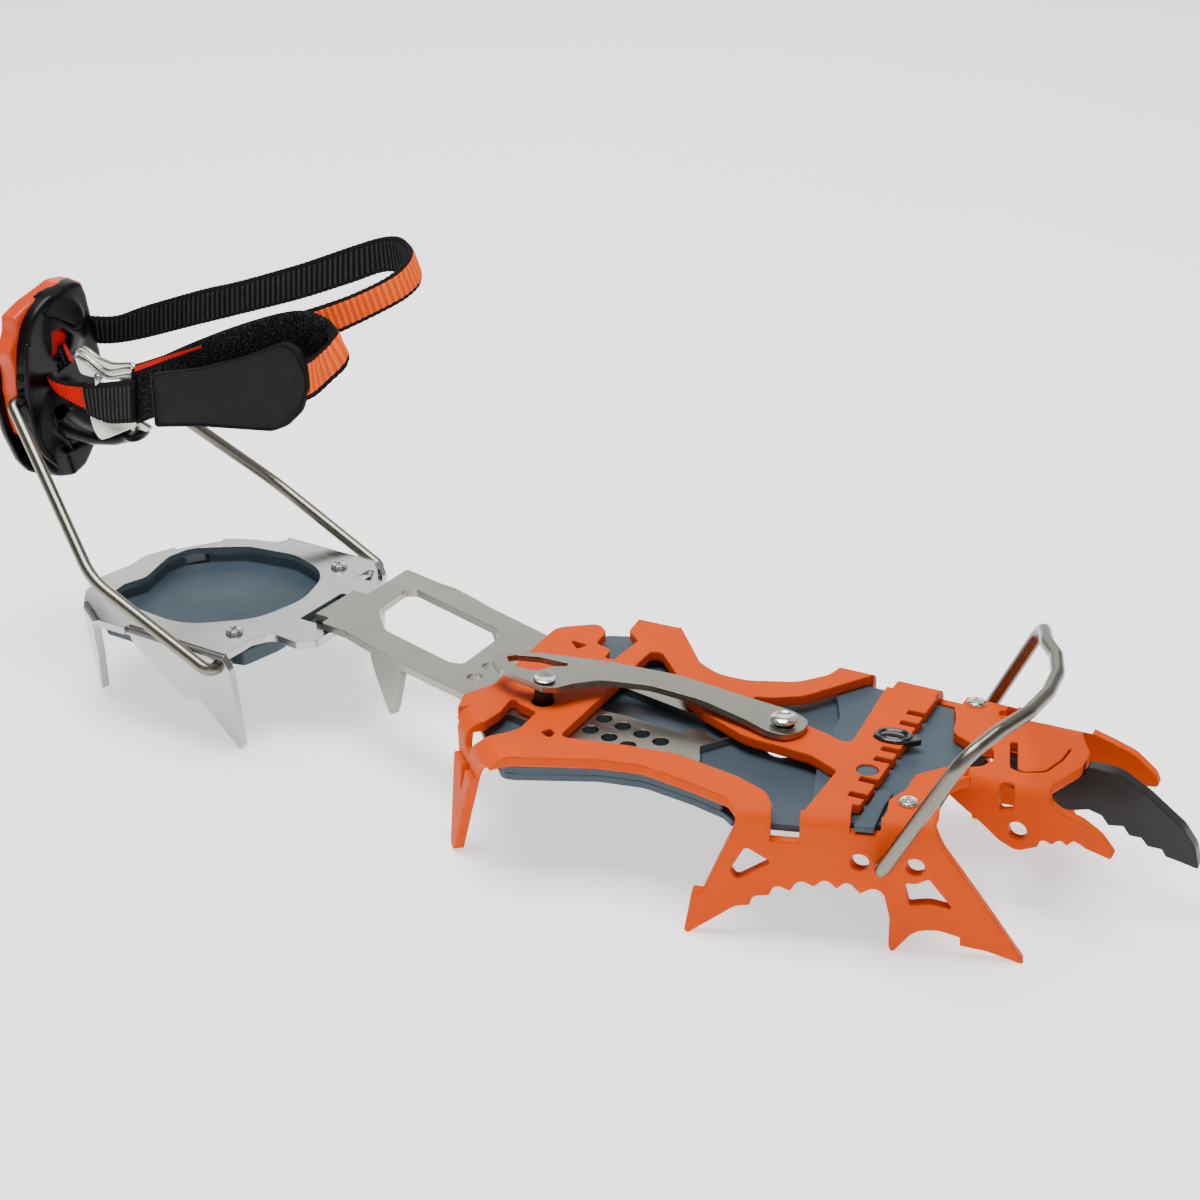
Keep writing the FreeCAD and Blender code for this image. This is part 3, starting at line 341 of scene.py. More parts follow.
def even(top, bottom, step):
    """Both edges of a band, resampled so that the sections are evenly spaced."""
    fine = 60 * len(top)
    a = spline(top, fine)
    b = spline(bottom, fine)
    run = [0.0]
    for i in range(1, fine):
        run.append(run[-1] + ((a[i] + b[i]) / 2 - (a[i - 1] + b[i - 1]) / 2).length)
    count = max(8, int(run[-1] / step))
    out = []
    k = 0
    for i in range(count + 1):
        want = run[-1] * i / count
        while k < fine - 2 and run[k + 1] < want:
            k += 1
        t = (want - run[k]) / max(1e-9, run[k + 1] - run[k])
        out.append((a[k].lerp(a[k + 1], t), b[k].lerp(b[k + 1], t), want))
    return out


def crest_highlight_of(material):
    """The lighter colour on top of each rib, a painted highlight on the rib crests."""
    return {black_webbing: MAT["black_crest_highlight"], orange_webbing: MAT["orange_crest_highlight"]}.get(material, material)


def webbing(name, sections, body, front, back, thick=0.0019, rib=0.002, depth=0.0004, cols=9,
            wave=0.0, rim=None):
    """Woven band between two edges, with cross ribs as real relief; front is the +normal side."""
    step = rib / 6 if rib else 0.0006
    edges = even([at(*s[0]) for s in sections], [at(*s[1]) for s in sections], step)
    bm = bmesh.new()
    rows = []
    lifts = []
    rng = random.Random(7)
    for i, (a, b, s) in enumerate(edges):
        prev = edges[max(0, i - 2)]
        nxt = edges[min(len(edges) - 1, i + 2)]
        run = ((nxt[0] + nxt[1]) - (prev[0] + prev[1])).normalized()
        normal = run.cross(a - b).normalized()
        across = (a - b).normalized()
        lift = depth * (0.5 + 0.5 * math.cos(2 * math.pi * s / rib)) if rib else 0.0
        lifts.append(lift)
        notch = 0.3 * lift
        ring = []
        for side in (1, -1):
            span = range(cols) if side == 1 else reversed(range(cols))
            for c in span:
                t = c / (cols - 1)
                spot = b.lerp(a, t)
                edge = min(1.0, min(t, 1 - t) * (cols - 1) / 1.2)
                half = (thick / 2 + lift) * (0.35 + 0.65 * edge)
                fuzz = rng.uniform(-1, 1) * wave
                spread = notch if t > 0.5 else -notch
                ring.append(bm.verts.new(spot + normal * side * (half + fuzz) + across * spread))
        rows.append(ring)
    n = 2 * cols
    for r in range(len(rows) - 1):
        for c in range(n):
            f = bm.faces.new((rows[r][c], rows[r][(c + 1) % n], rows[r + 1][(c + 1) % n], rows[r + 1][c]))
            face = 0 if 0 < c < cols - 2 else (1 if cols < c < n - 2 else 2)
            # faces on a rib crest take the lighter crest material, a painted highlight
            lit_crest = face < 2 and lifts[r] + lifts[r + 1] > 1.1 * depth
            f.material_index = face + 3 if lit_crest else face
    bm.faces.new(rows[0])
    bm.faces.new(list(reversed(rows[-1])))
    return from_bmesh(name, bm, body, [front, back, rim or black_webbing, crest_highlight_of(front), crest_highlight_of(back)])


def extruded(outline, push):
    """Mesh of a flat outline in metres, given a thickness along push."""
    bm = bmesh.new()
    face = bm.faces.new([bm.verts.new(p) for p in outline])
    made = bmesh.ops.extrude_face_region(bm, geom=[face])["geom"]
    moved = [g for g in made if isinstance(g, bmesh.types.BMVert)]
    bmesh.ops.translate(bm, vec=push, verts=moved)
    return bm


def plate(name, outline, push, body, material, width=0.0004, segments=3):
    """Flat shape through drawing points, thickened along push, with rounded edges."""
    bm = extruded([at(*p) for p in outline], Vector(push) / 1000)
    obj = from_bmesh(name, bm, body, [material], smooth=False)
    if width:
        bevel_mod(obj, width, segments)
        auto_smooth(obj)
    return obj


def round_outline(points, radius, steps=4):
    """Outline with its corners replaced by short arcs; points are 2-D tuples."""
    out = []
    n = len(points)
    for i, p in enumerate(points):
        a = Vector(points[i - 1])
        b = Vector(p)
        c = Vector(points[(i + 1) % n])
        r = min(radius, 0.45 * (a - b).length, 0.45 * (c - b).length)
        start = b + (a - b).normalized() * r
        end = b + (c - b).normalized() * r
        for k in range(steps + 1):
            t = k / steps
            out.append(tuple((1 - t) ** 2 * start + 2 * t * (1 - t) * b + t * t * end))
    return out


def bridge(bm, rows, closed=False):
    """Faces between neighbouring rings, with end caps unless the rings run round a loop."""
    pairs = list(zip(rows, rows[1:]))
    if closed:
        pairs.append((rows[-1], rows[0]))
    around = len(rows[0])
    for near, far in pairs:
        for c in range(around):
            d = (c + 1) % around
            bm.faces.new((near[c], near[d], far[d], far[c]))
    if not closed:
        bm.faces.new(rows[0])
        bm.faces.new(list(reversed(rows[-1])))


def tube(name, path, radius, body, material, sides=14, closed=False):
    """Round rod along a path of points in metres."""
    bm = bmesh.new()
    rows = []
    n = len(path)
    side = None
    for i, p in enumerate(path):
        a = path[i - 1] if (closed or i > 0) else path[i]
        b = path[(i + 1) % n] if (closed or i < n - 1) else path[i]
        run = (b - a).normalized()
        if side is None:
            side = run.orthogonal().normalized()
        side = (side - run * side.dot(run)).normalized()
        up = run.cross(side)
        ring = []
        for k in range(sides):
            w = 2 * math.pi * k / sides
            ring.append(bm.verts.new(p + side * math.cos(w) * radius + up * math.sin(w) * radius))
        rows.append(ring)
    bridge(bm, rows, closed)
    return from_bmesh(name, bm, body, [material])


def lathe(name, rings, centre, axis, body, material, sides=40):
    """Turned part: rings are (radius, height) in mm along the axis."""
    bm = bmesh.new()
    z = Vector(axis).normalized()
    x = z.orthogonal().normalized()
    y = z.cross(x)
    rows = []
    for radius, height in rings:
        row = []
        for k in range(sides):
            w = 2 * math.pi * k / sides
            spoke = (x * math.cos(w) + y * math.sin(w)) * max(radius, 0.02)
            row.append(bm.verts.new(centre + (z * height + spoke) / 1000))
        rows.append(row)
    bridge(bm, rows)
    obj = from_bmesh(name, bm, body, [material])
    auto_smooth(obj, 35)
    return obj


def box_between(name, low, high):
    bm = bmesh.new()
    bmesh.ops.create_cube(bm, size=1.0)
    for v in bm.verts:
        v.co = Vector([low[i] if v.co[i] < 0 else high[i] for i in range(3)])
    return loose(name, bm)


def ball(centre, size):
    """Ellipsoid for a join or a boolean; centre and half sizes in drawing millimetres."""
    bm = bmesh.new()
    bmesh.ops.create_icosphere(bm, subdivisions=3, radius=1.0)
    for v in bm.verts:
        v.co = at(*centre) + Vector([v.co[i] * size[i] for i in range(3)]) / 1000
    return loose("tool", bm)


def prism(outline, x0, x1, name="tool", expand=0.0):
    """Blank with a (y, z) outline at X = x0, grown by expand at X = x1."""
    bm = bmesh.new()
    mid = Vector([sum(p[i] for p in outline) / len(outline) for i in range(2)])
    low = [bm.verts.new(at(x0, *p)) for p in outline]
    high = []
    for p in outline:
        q = Vector(p) + (Vector(p) - mid).normalized() * expand
        high.append(bm.verts.new(at(x1, q.x, q.y)))
    n = len(outline)
    bm.faces.new(low)
    bm.faces.new(list(reversed(high)))
    for i in range(n):
        bm.faces.new((low[i], high[i], high[(i + 1) % n], low[(i + 1) % n]))
    bmesh.ops.recalc_face_normals(bm, faces=bm.faces)
    return loose(name, bm)


def join(objs):
    """Put the meshes of all the objects into the first one."""
    bm = bmesh.new()
    for o in objs:
        bm.from_mesh(o.data)
    bm.to_mesh(objs[0].data)
    bm.free()
    for o in objs[1:]:
        bpy.data.objects.remove(o, do_unlink=True)


def boolean(obj, tools, operation="DIFFERENCE"):
    """Apply booleans and leave a plain mesh."""
    for tool in tools:
        mod = obj.modifiers.new("cut", "BOOLEAN")
        mod.operation = operation
        mod.object = tool
        mod.solver = "EXACT"
    bake(obj)
    for tool in tools:
        bpy.data.objects.remove(tool, do_unlink=True)


def bake(obj):
    """Replace the object's mesh by what its modifiers make of it."""
    deps = bpy.context.evaluated_depsgraph_get()
    mesh = bpy.data.meshes.new_from_object(obj.evaluated_get(deps), depsgraph=deps)
    obj.modifiers.clear()
    obj.data = mesh


def remesh(obj, voxel, rounds):
    """Melt the blank's parts into one skin and smooth it."""
    mod = obj.modifiers.new("remesh", "REMESH")
    mod.mode = "VOXEL"
    mod.voxel_size = voxel
    mod.use_smooth_shade = True
    mod = obj.modifiers.new("smooth", "SMOOTH")
    mod.iterations = rounds
    mod.factor = 0.5
    bake(obj)


# ---------------------------------------------------------------- ankle strap
# Bands are lists of sections, each the upper and the lower edge of the band.
LOOP = [
    ((-109.5, 15.0, 110.8), (-108.0, 15.0, 101.5)), ((-98.1, 17.0, 112.2), (-99.3, 17.0, 102.5)),
    ((-85.5, 18.5, 117.5), (-86.9, 18.5, 106.1)), ((-62.9, 21.0, 126.1), (-64.2, 21.0, 114.3)),
    ((-47.8, 23.5, 131.0), (-48.8, 23.5, 119.7)), ((-26.2, 28.0, 139.0), (-27.1, 28.0, 127.3)),
    ((-8.9, 32.0, 146.3), (-9.6, 32.0, 134.4)), ((1.2, 34.5, 150.2), (1.8, 34.5, 139.3)),
    ((10.1, 32.0, 152.5), (11.9, 32.0, 141.6)), ((19.0, 25.0, 152.9), (22.4, 25.0, 144.6)),
    ((24.1, 17.5, 152.2), (28.1, 17.5, 144.1)), ((25.4, 11.0, 150.4), (28.7, 11.0, 142.3)),
    ((23.0, 5.0, 147.9), (26.3, 5.0, 140.1)), ((16.2, -1.0, 144.1), (19.4, -1.0, 135.9)),
    ((9.7, -5.0, 141.3), (13.3, -5.0, 132.5)), ((2.4, -8.0, 138.4), (5.5, -8.0, 128.5)),
    ((-19.9, -10.0, 129.3), (-18.9, -10.0, 119.1)), ((-56.4, -12.0, 113.4), (-56.8, -12.0, 102.5)),
]
NEAR = [
    ((-60.3, -15.0, 110.9), (-62.7, -15.0, 91.1)), ((-31.0, -16.0, 126.1), (-33.1, -16.0, 105.8)),
    ((-9.6, -17.0, 136.0), (-11.3, -17.0, 116.9)), ((6.3, -17.2, 142.0), (5.5, -17.2, 122.8)),
    ((15.0, -17.8, 143.4), (14.4, -17.8, 123.7)), ((22.2, -19.5, 142.7), (23.0, -19.5, 127.5)),
    ((26.2, -22.0, 141.1), (30.4, -22.0, 133.3)), ((26.5, -24.5, 138.9), (31.9, -24.5, 131.6)),
    ((24.7, -26.5, 136.4), (28.0, -26.5, 127.2)), ((21.4, -27.2, 133.5), (22.0, -27.2, 121.6)),
    ((15.3, -27.2, 130.9), (16.1, -27.2, 118.3)),
]
PULL = [
    ((-102.6, -3.0, 107.8), (-99.9, -3.0, 101.7)), ((-106.5, -5.0, 104.9), (-103.9, -5.0, 98.1)),
    ((-106.7, -8.0, 102.0), (-104.6, -8.0, 95.4)), ((-103.0, -10.5, 98.9), (-99.3, -10.5, 93.3)),
    ((-94.2, -12.2, 98.7), (-92.5, -12.2, 92.1)), ((-82.7, -13.8, 101.1), (-81.5, -13.8, 90.6)),
    ((-71.3, -15.4, 104.5), (-72.2, -15.4, 90.6)), ((-57.9, -17.0, 108.6), (-59.3, -17.0, 93.8)),
]
STRIPE = [
    ((-58.0, -16.9, 113.2), (-58.4, -16.9, 110.1)), ((-43.7, -17.3, 119.3), (-44.0, -17.3, 117.0)),
    ((-29.3, -17.9, 125.1), (-28.5, -17.9, 124.3)),
]
TAB = [
    (-42.6, 116.0), (-22.0, 121.9), (-5.9, 128.1), (9.9, 135.7), (13.7, 137.0), (18.4, 135.4), (21.3, 129.5),
    (21.3, 124.8), (17.7, 116.3), (11.6, 110.4), (5.7, 107.5), (-24.0, 102.7), (-42.8, 98.4),
]


def shifted(sections, y):
    """The same band moved along Y."""
    return [((a[0], a[1] + y, a[2]), (b[0], b[1] + y, b[2])) for a, b in sections]


def ankle_strap():
    loop = webbing("strap_main", LOOP, "heel_lever", black_webbing, orange_webbing)
    near = webbing("strap_fold", NEAR[4:], "heel_lever", black_webbing, orange_webbing)
    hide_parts("strap_loop")
    hook = webbing("strap_hook_tape", shifted(NEAR[:6], -0.5), "heel_lever", hook_tape, hook_tape,
                   thick=0.0024, rib=0.0, cols=22, wave=0.00028, rim=hook_tape)
    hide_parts("strap_hook_patch")
    stripe = webbing("strap_red_edge", STRIPE, "heel_lever", red_webbing, red_webbing,
                     thick=0.0006, depth=0.0001, cols=6)


def on_tab(x, z, proud=0.0):
    """A point on the outer face of the end tab, which leans a little outwards along X."""
    return at(x, -27.1 - proud - 0.03 * (x + 46), z)


def tab():
    outline = [on_tab(x, z) for x, z in round_outline(TAB, 1.6)]
    bm = extruded(outline, Vector((0, 0.0018, 0)))
    obj = from_bmesh("strap_pull_tab", bm, "heel_lever", [MAT["tab_fabric"]], smooth=False)
    bevel_mod(obj, 0.0004)
    auto_smooth(obj)
    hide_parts("strap_tab")
    # stitched rim just inside the edge
    inner = [(x + (-10 - x) * 0.035, z + (116 - z) * 0.06) for x, z in TAB]
    path = [on_tab(x, z, 0.3) for x, z in round_outline(inner, 2.5, steps=8)]
    seam = tube("strap_tab_seam", path, 0.00018, "heel_lever", MAT["tab_fabric"], 8, closed=True)


def anchor_and_keeper():
    pull = webbing("strap_pull", PULL[:6], "heel_lever", red_webbing, black_webbing, thick=0.0017)
    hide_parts("strap_anchor")
    keeper = webbing("strap_keeper_band", shifted(PULL[5:], -1.5), "heel_lever", black_webbing,
                     black_webbing, thick=0.002, rib=0.0021, depth=0.00045)
    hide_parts("strap_keeper")


ankle_strap()
tab()
anchor_and_keeper()


# ---------------------------------------------------------------- buckle
WING_TOP = [
    (-87.5, 109.7), (-84.8, 113.6), (-81.3, 113.5), (-76.4, 111.4), (-70.1, 110.6), (-61.4, 112.5),
    (-59.1, 110.6), (-62.0, 108.1), (-73.0, 104.6), (-79.6, 103.7), (-85.3, 103.6),
]
WING_LOW = [
    (-83.1, 90.7), (-81.7, 85.1), (-79.0, 82.2), (-73.9, 84.6), (-67.4, 88.0), (-62.8, 90.4), (-57.4, 89.8),
    (-55.1, 91.6), (-61.3, 93.4), (-66.8, 93.6), (-79.8, 93.0),
]


def buckle():
    """Two pressed wings, two ridges along the upper one and two cross bars."""
    steel = MAT["buckle_steel"]
    lean = 0.04
    for name, wing in (("buckle_upper", WING_TOP), ("buckle_lower", WING_LOW)):
        shape = [(x, -14.6 - lean * (x + 84), z) for x, z in round_outline(wing, 1.6)]
        plate(name, shape, (0, 1.7, 0), "heel_lever", steel, 0.0006, segments=4)
    ridge = [(-85.5, 112.0), (-81.5, 111.0), (-76.8, 108.8), (-71.5, 107.7), (-64.0, 110.0), (-60.5, 110.6)]
    for number, drop in ((10, 0.0), (7, 2.2)):
        path = [at(x, -14.9 - lean * (x + 84), z - drop) for x, z in ridge]
        name = "buckle_ridge_%d" % number
        tube(name, spline(path, 30), 0.0006, "heel_lever", steel, 10)
    for number, x, radius in ((76, -76.0, 0.0013), (62, -62.5, 0.0015)):
        path = [at(x, -15.6, 106.0), at(x, -15.9, 98.0), at(x + 0.4, -15.6, 90.0)]
        name = "buckle_bar_%d" % number
        tube(name, spline(path, 8), radius, "heel_lever", steel)
    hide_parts("buckle")


buckle()


# ---------------------------------------------------------------- heel lever
# Outlines are (y, z) in drawing millimetres, seen along X.
FACE = [
    (3.6, 126.6), (9.4, 126.4), (11.6, 122.0), (12.8, 115.0), (14.6, 105.0), (16.4, 97.0), (15.2, 88.0),
    (12.2, 80.0), (7.2, 71.0), (0.6, 63.0), (-5.8, 60.4), (-11.8, 61.8), (-16.2, 67.0), (-19.6, 76.0),
    (-21.6, 87.4), (-21.8, 98.0), (-19.6, 110.0), (-16.6, 117.4), (-12.0, 122.0), (-6.2, 125.0),
]
FOOT = [(-13.5, 74), (5.6, 74), (2.6, 68.4), (-2.0, 63.2), (-10.6, 61.8)]
PANEL = [(-10.2, 120.4), (-6.2, 122.8), (3.4, 123.0), (6.2, 120.6), (7.6, 113.6), (5.4, 111.4), (2.2, 111.6)]
RED_SLOT = [(-7.6, 112.7), (-4.6, 113.6), (0.0, 109.6), (-1.3, 105.6), (-5.2, 104.4), (-7.9, 104.4)]
LOW_SLOT = [(-11.2, 87.4), (-7.6, 88.0), (-4.6, 81.2), (-7.0, 78.2), (-11.4, 79.0)]
# notches in the near edge: height and radius
EDGE_NICKS = [(101.8, 2.2), (94.6, 2.4), (83.0, 1.8)]
# the wire guide that reaches forward: x, z and radius along it
SNOUT = [
    (-104, 84.0, 8.5), (-97, 81.6, 8.4), (-90, 80.4, 7.0),
    (-83, 80.6, 5.4), (-77, 82.2, 4.2), (-73.2, 82.9, 3.2),
]
COVER = [
    (12.6, 117.0), (14.2, 121.0), (13.4, 124.0), (8.2, 126.2), (1.8, 126.8), (-4.5, 125.0), (-11.4, 123.4),
    (-19.4, 120.0), (-19.4, 116.8), (-20.4, 113.6), (-23.9, 109.4), (-22.3, 104.5), (-22.6, 95.0),
    (-21.8, 86.0), (-20.0, 79.4), (-16.6, 77.0), (-8.0, 76.5), (0.0, 76.5), (6.0, 77.0), (11.0, 82.0),
    (13.0, 92.0), (13.0, 104.0),
]
LEVER_BACK = [
    (-17.0, 112.0), (-21.4, 106.9), (-24.4, 99.5), (-25.2, 91.1), (-22.8, 79.7), (-18.5, 68.8), (-14.4, 63.6),
    (-6.0, 60.0), (3.0, 61.6), (12.0, 70.0), (16.4, 84.0), (16.6, 98.0), (12.0, 110.0), (0.0, 114.0),
]
BACK_POCKETS = [
    [(-9, 74), (5, 74), (7, 90), (-11, 90)],
    [(-10, 94), (6, 94), (5, 106), (-8, 106)],
]


def skin(obj, material):
    """Smooth shading and one material over the whole moulding."""
    for f in obj.data.polygons:
        f.use_smooth = True
    obj.data.materials.clear()
    obj.data.materials.append(MAT[material])


def snout_balls():
    """Overlapping flattened balls along the snout, four to a span, and its round end."""
    balls = []
    for a, b in zip(SNOUT, SNOUT[1:]):
        for k in range(4):
            x, z, r = [a[j] + (b[j] - a[j]) * k / 4 for j in range(3)]
            balls.append(ball((x, -3.0, z - 1.2), (r, r * 1.2, r * 0.55)))
    balls.append(ball((-73.4, -3.4, 82.0), (3.0, 5.8, 2.6)))
    return balls


def lever_body():
    shell = prism(round_outline(FACE, 2.5), -110.4, -103.9, "heel_lever_shell", -1.0)
    # low domes over the lower and the upper half; the lower one carries the snout
    belly = ball((-105.2, -4.8, 79.4), (5.4, 12.1, 17.1))
    crown = ball((-105.4, -1.0, 112.0), (4.2, 10.5, 13.0))
    snout = snout_balls()
    foot = prism(FOOT, -105, -98.6, expand=-2.2)
    boolean(shell, [belly, crown, foot], "UNION")
    bpy.context.view_layer.update()
    join([shell] + snout)
    remesh(shell, 0.00085, 5)
    tools = [prism(round_outline(PANEL, 1.2), -103.4, -98, expand=1.4),
             prism(round_outline(RED_SLOT, 0.8), -106.6, -98, expand=0.3),
             prism(round_outline(LOW_SLOT, 1.0), -107.6, -99.5, expand=0.3)]
    for z, r in EDGE_NICKS:
        tools.append(ball((-104.6, -21.6, z), (3.2, r * 1.15, r)))
    boolean(shell, tools)
    remesh(shell, 0.00042, 3)
    skin(shell, "black_plastic")
    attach(shell, "heel_lever")
    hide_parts("heel_lever_body")


def lever_trim():
    """Crease across the panel, rail along the near side, lip round the foot, tape in the slot."""
    black = MAT["black_plastic"]
    crease = [at(-103.2, -9.0, 119.6), at(-102.7, -3.0, 116.2), at(-102.9, 3.4, 112.4)]
    rib = tube("heel_lever_crease", spline(crease, 14), 0.0005, "heel_lever", black, 10)
    side = [at(-103.6, -18.2, 112), at(-103.2, -20.4, 100), at(-103.2, -20.6, 88), at(-103.4, -17.4, 75),
            at(-103.8, -10, 66)]
    rail = tube("heel_lever_rail", spline(side, 40), 0.0011, "heel_lever", black, 12)
    low = [at(-100.9, -13.0, 86), at(-99.8, -11.0, 78), at(-99.8, -6.0, 69.5), at(-100.5, -1.0, 66)]
    lip = tube("heel_lever_lip", spline(low, 30), 0.0007, "heel_lever", black, 10)
    tape = [(-104.9, y, z) for y, z in round_outline(RED_SLOT, 0.6)]
    red = plate("heel_lever_red_tape", tape, (0.6, 0, 0), "heel_lever", red_webbing, 0.0)


def lever_cover():
    shell = prism(round_outline(COVER, 1.6), -113.2, -107.6, "heel_lever_skin", -0.6)
    # the cover wraps the lever body, whose outline is cut out of it a little smaller
    core = prism([(y * 0.94 - 0.1, 95 + (z - 95) * 0.955) for y, z in FACE], -110.6, -100)
    boolean(shell, [core])
    remesh(shell, 0.0005, 3)
    skin(shell, "orange_plastic")
    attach(shell, "heel_lever")
    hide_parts("heel_lever_cover")


def lever_back():
    back = prism(round_outline(LEVER_BACK, 2.0), -116.0, -113.0, "heel_lever_rear", 0.4)
    boolean(back, [prism(round_outline(pocket, 2), -118, -115.0) for pocket in BACK_POCKETS])
    remesh(back, 0.0006, 3)
    skin(back, "black_plastic")
    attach(back, "heel_lever")
    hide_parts("heel_lever_back")


lever_body()
lever_trim()
lever_cover()
lever_back()


# ---------------------------------------------------------------- screws, rivet, pin cap, clip
def screw_head(name, centre, body, height):
    """Domed head, 5.6 mm across, with a cross recess; its height is in millimetres."""
    radius = 2.8
    rings = [(radius - 0.1, -0.1), (radius, 0.15), (radius, 0.45 * height), (0.82 * radius, 0.85 * height),
             (0.5 * radius, height), (0.0, height)]
    head = lathe(name, rings, centre, (0, 0, 1), body, MAT["screw_steel"])
    arms = []
    for turn in (20, 110):
        arm = box_between("tool", (-0.0017, -0.00042, 0.0004), (0.0017, 0.00042, 0.003))
        arm.data.transform(Matrix.Translation(centre) @ Matrix.Rotation(math.radians(turn), 4, "Z"))
        arms.append(arm)
    boolean(head, arms)
    auto_smooth(head, 30)
    return head


def islands(node):
    """Boxes of the separate solids inside one node, low X first."""
    obj = frame["nodes"][node]
    bm = bmesh.new()
    bm.from_mesh(obj.data)
    bm.transform(obj.matrix_world)
    bmesh.ops.remove_doubles(bm, verts=bm.verts, dist=1e-6)
    seen = set()
    out = []
    for v in bm.verts:
        if v.index in seen:
            continue
        stack = [v]
        seen.add(v.index)
        pts = []
        while stack:
            w = stack.pop()
            pts.append(w.co.copy())
            for e in w.link_edges:
                o = e.other_vert(w)
                if o.index not in seen:
                    seen.add(o.index)
                    stack.append(o)
        low = Vector([min(p[i] for p in pts) for i in range(3)])
        high = Vector([max(p[i] for p in pts) for i in range(3)])
        out.append((low, high))
    bm.free()
    return sorted(out, key=lambda b: b[0].x)


def top_centre(box, drop=0.0):
    low, high = box
    return Vector(((low.x + high.x) / 2, (low.y + high.y) / 2, high.z - drop))


def thread_rings(length):
    """Tip, ridged shank and neck of a screw, downwards from under its head."""
    pitch = 0.7
    z = 0.8 - length
    rings = [(0.9, -length), (1.5, z)]
    while z < -0.6:
        rings += [(1.58, z), (1.3, z + pitch / 2)]
        z += pitch
    return rings + [(1.5, 0.0)]


def screws(node, body, height):
    for n, solid in enumerate(islands(node)):
        seat = top_centre(solid, height / 1000)
        screw_head("%s_head_%d" % (node, n), seat, body, height)
        rings = thread_rings((seat.z - solid[0].z) * 1000)
        name = "%s_thread_%d" % (node, n)
        shank = lathe(name, rings, seat, (0, 0, 1), body, MAT["screw_steel"], 20)
    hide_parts(node)


def lever_rivet():
    rings = [(4.0, -10.8), (4.0, -8.6), (2.2, -8.5), (2.2, -1.8), (3.5, -1.75), (3.9, -1.5), (3.9, -0.9),
             (3.5, -0.45), (2.7, -0.15), (2.3, -0.05), (2.0, -0.25), (1.2, -0.35), (0.0, -0.35)]
    top = top_centre(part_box("lever_rivet"))
    rivet = lathe("rivet", rings, top, (0, 0, 1), "front", MAT["screw_steel"])
    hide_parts("lever_rivet")


def frame_turn():
    """How the front frame is turned about Z, from the axis of the toe bail."""
    joints = frame["record"]["behaviour"]["joints"]
    axis = next(j for j in joints if j["name"] == "toe_bail_fold")["axis"]
    return Matrix.Rotation(math.atan2(-axis[0], axis[1]), 3, "Z")


def latch_pin():
    """Black stem under the leaf lever with a dished steel cap; both lean with the lever."""
    low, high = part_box("lever_pin")
    axis = frame_turn() @ Matrix.Rotation(math.radians(3.6), 3, "Y") @ Vector((0, 0, 1))
    head = (low + high) / 2 + axis * 0.0052
    rings = [(2.6, -10.1), (2.8, -9.7), (2.8, -2.5), (2.3, -2.3), (2.3, -0.2)]
    stem = lathe("pin_stem", rings, head, axis, "leaf_lever", MAT["black_oxide"])
    rings = [(3.0, -0.25), (3.3, -0.1), (3.3, 0.25), (3.0, 0.42), (2.6, 0.36), (1.9, 0.05), (1.0, -0.05),
             (0.0, -0.08)]
    cap = lathe("pin_dish", rings, head, axis, "leaf_lever", MAT["screw_steel"])
    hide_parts("lever_pin")


CLIP_RING = [
    (-6.6, -1.8), (-6.4, 1.2), (-4.0, 3.0), (0.4, 3.2), (2.6, 1.8), (3.0, -1.0), (0.4, -3.0), (-4.0, -3.2),
]
CLIP_NOSE = [(2.4, -2.6), (5.8, -0.4), (6.4, 0.6), (3.6, 2.6), (1.6, 1.2)]


def clip():
    """Black clip on the anti-snow plate: a rim, the low crown inside it and a pointed nose."""
    low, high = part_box("antiball_clip")
    mid = (low + high) / 2
    turn = frame_turn()
    gloss = MAT["gloss_plastic"]

    def place(x, y, z):
        return mid + turn @ Vector((x, y, z)) / 1000

    path = [place(x, y, 0.9 + 0.05 * x) for x, y in round_outline(CLIP_RING, 2.4, steps=6)]
    band = tube("clip_ring", path, 0.0011, "front", gloss, closed=True)
    bm = bmesh.new()
    bmesh.ops.create_icosphere(bm, subdivisions=3, radius=1.0)
    for v in bm.verts:
        v.co = place(-1.8 + 4.4 * v.co.x, 2.9 * v.co.y, 0.8 + 1.2 * v.co.z)
    crown = from_bmesh("clip_crown", bm, "front", [gloss])
    outline = [place(x, y, -0.2) for x, y in round_outline(CLIP_NOSE, 0.8)]
    tip = from_bmesh("clip_tip", extruded(outline, Vector((0, 0, 0.0018))), "front", [gloss], smooth=False)
    bevel_mod(tip, 0.0005)
    auto_smooth(tip)
    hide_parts("antiball_clip")


screws("front_screws", "front", 1.2)
screws("heel_screws", "heel", 1.5)
lever_rivet()
latch_pin()
clip()


# ---------------------------------------------------------------- stage, light, camera
def area_light(name, place, size, power):
    """Soft light aimed at the middle of the object."""
    data = bpy.data.lights.new(name, "AREA")
    data.shape = "RECTANGLE"
    data.size, data.size_y = size
    data.energy = power
    obj = bpy.data.objects.new(name, data)
    bpy.context.scene.collection.objects.link(obj)
    obj.location = place
    obj.rotation_euler = (Vector((0, 0, 0.03)) - Vector(place)).to_track_quat("-Z", "Y").to_euler()


def stage():
    """Pale paper floor."""
    half = 4.0
    mesh = bpy.data.meshes.new("floor")
    corners = [(-half, -half, 0), (half, -half, 0), (half, half, 0), (-half, half, 0)]
    mesh.from_pydata(corners, [], [(0, 1, 2, 3)])
    obj = bpy.data.objects.new("floor", mesh)
    bpy.context.scene.collection.objects.link(obj)
    mat = Mat("floor_paper", rough=0.9, spec=0.1)
    mat.set("Base Color", mat.ramp(mat.noise(3, 2), [(0.4, (0.88,) * 3), (0.6, (0.9,) * 3)]))
    mat.set("Emission Color", (1, 1, 1, 1))
    mat.set("Emission Strength", 0.95)
    mesh.materials.append(mat.material)


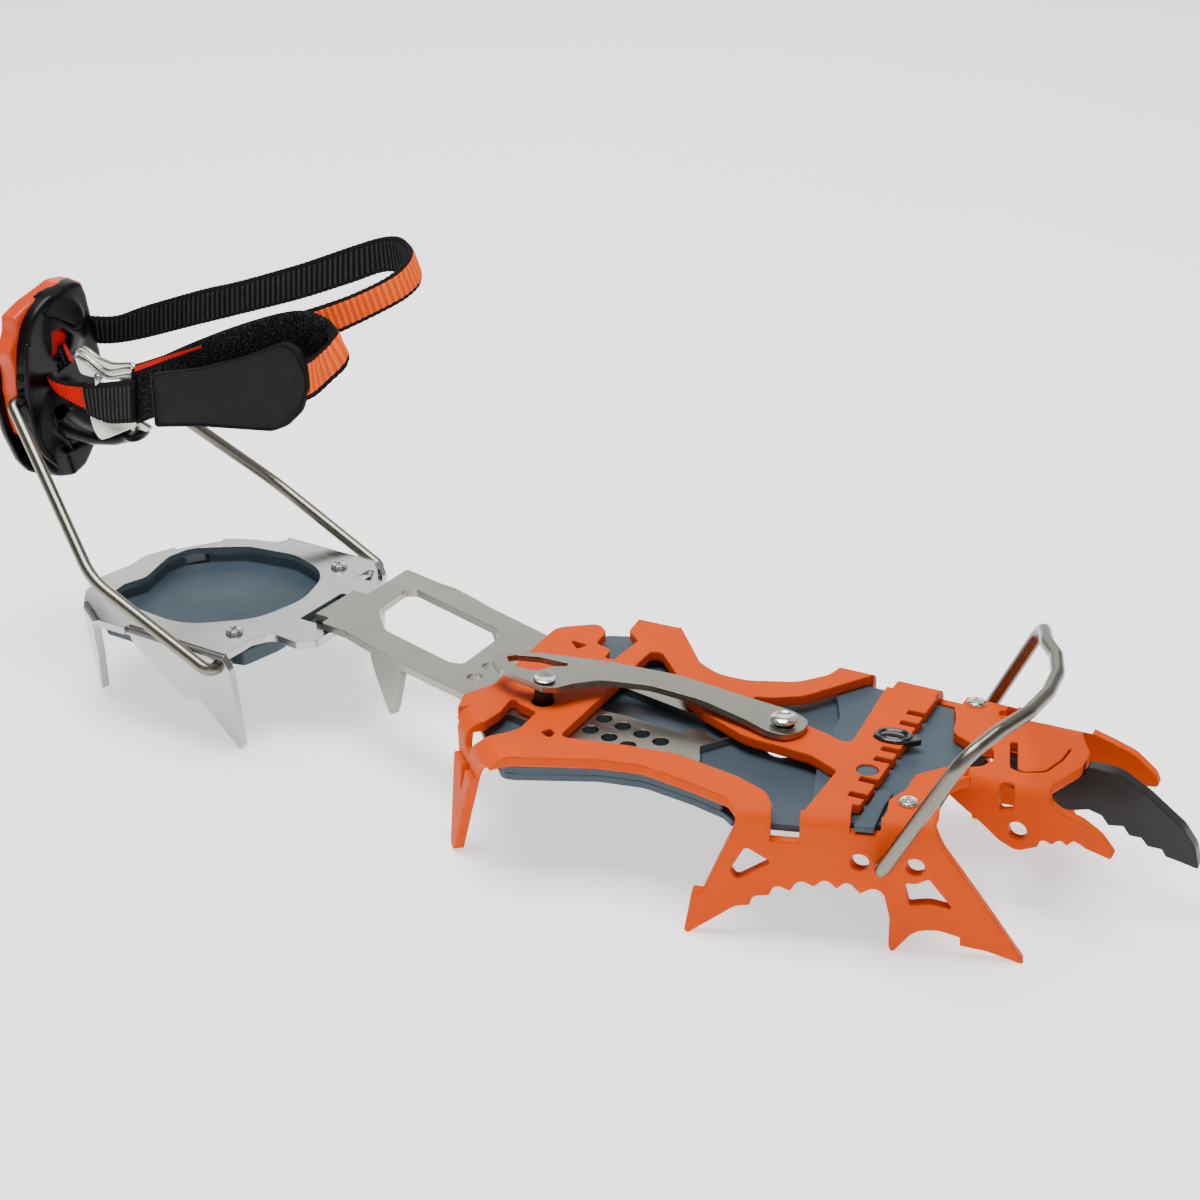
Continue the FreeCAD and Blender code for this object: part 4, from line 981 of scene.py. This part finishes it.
def studio():
    """World light: plain and pale round the horizon, softly clouded above it."""
    world = bpy.data.worlds.new("studio")
    bpy.context.scene.world = world
    world.use_nodes = True
    tree = world.node_tree
    sky = tree.nodes["Background"]
    sky.inputs["Strength"].default_value = 0.62
    way = tree.nodes.new("ShaderNodeTexCoord").outputs["Generated"]
    cloud = tree.nodes.new("ShaderNodeTexNoise")
    cloud.inputs["Scale"].default_value = 1.7
    cloud.inputs["Detail"].default_value = 1.0
    cloud.inputs["Distortion"].default_value = 0.6
    tone = tree.nodes.new("ShaderNodeValToRGB")
    dark, light = tone.color_ramp.elements
    dark.position = 0.44
    dark.color = (0.16, 0.16, 0.16, 1)
    light.position = 0.56
    light.color = (1, 1, 1, 1)
    height = tree.nodes.new("ShaderNodeSeparateXYZ")
    rise = tree.nodes.new("ShaderNodeMapRange")
    rise.inputs["From Min"].default_value = 0.12
    rise.inputs["From Max"].default_value = 0.34
    blend = tree.nodes.new("ShaderNodeMix")
    blend.data_type = "RGBA"
    socket(blend, "A").default_value = (1, 1, 1, 1)
    tree.links.new(way, cloud.inputs["Vector"])
    tree.links.new(cloud.outputs["Fac"], tone.inputs["Fac"])
    tree.links.new(way, height.inputs["Vector"])
    tree.links.new(height.outputs["Z"], rise.inputs["Value"])
    tree.links.new(rise.outputs["Result"], socket(blend, "Factor"))
    tree.links.new(tone.outputs["Color"], socket(blend, "B"))
    tree.links.new(next(s for s in blend.outputs if s.enabled), sky.inputs["Color"])


def lights():
    area_light("key", (-0.1, -0.05, 1.5), (0.9, 0.9), 36)
    area_light("fill", (1.3, -0.6, 0.7), (0.8, 0.8), 1.5)
    area_light("rim", (-0.65, 1.05, 0.62), (1.3, 0.5), 3.2)


def camera():
    azimuth = math.radians(31.5)
    elevation = math.radians(26.0)
    data = bpy.data.cameras.new("camera")
    data.sensor_width = 36
    data.lens = 66
    obj = bpy.data.objects.new("camera", data)
    bpy.context.scene.collection.objects.link(obj)
    level = math.cos(elevation)
    back = Vector((math.sin(azimuth) * level, -math.cos(azimuth) * level, math.sin(elevation)))
    obj.location = (0.326099, -0.493646, 0.349871)
    obj.rotation_euler = back.to_track_quat("Z", "Y").to_euler()
    bpy.context.scene.camera = obj


stage()
studio()
lights()
camera()
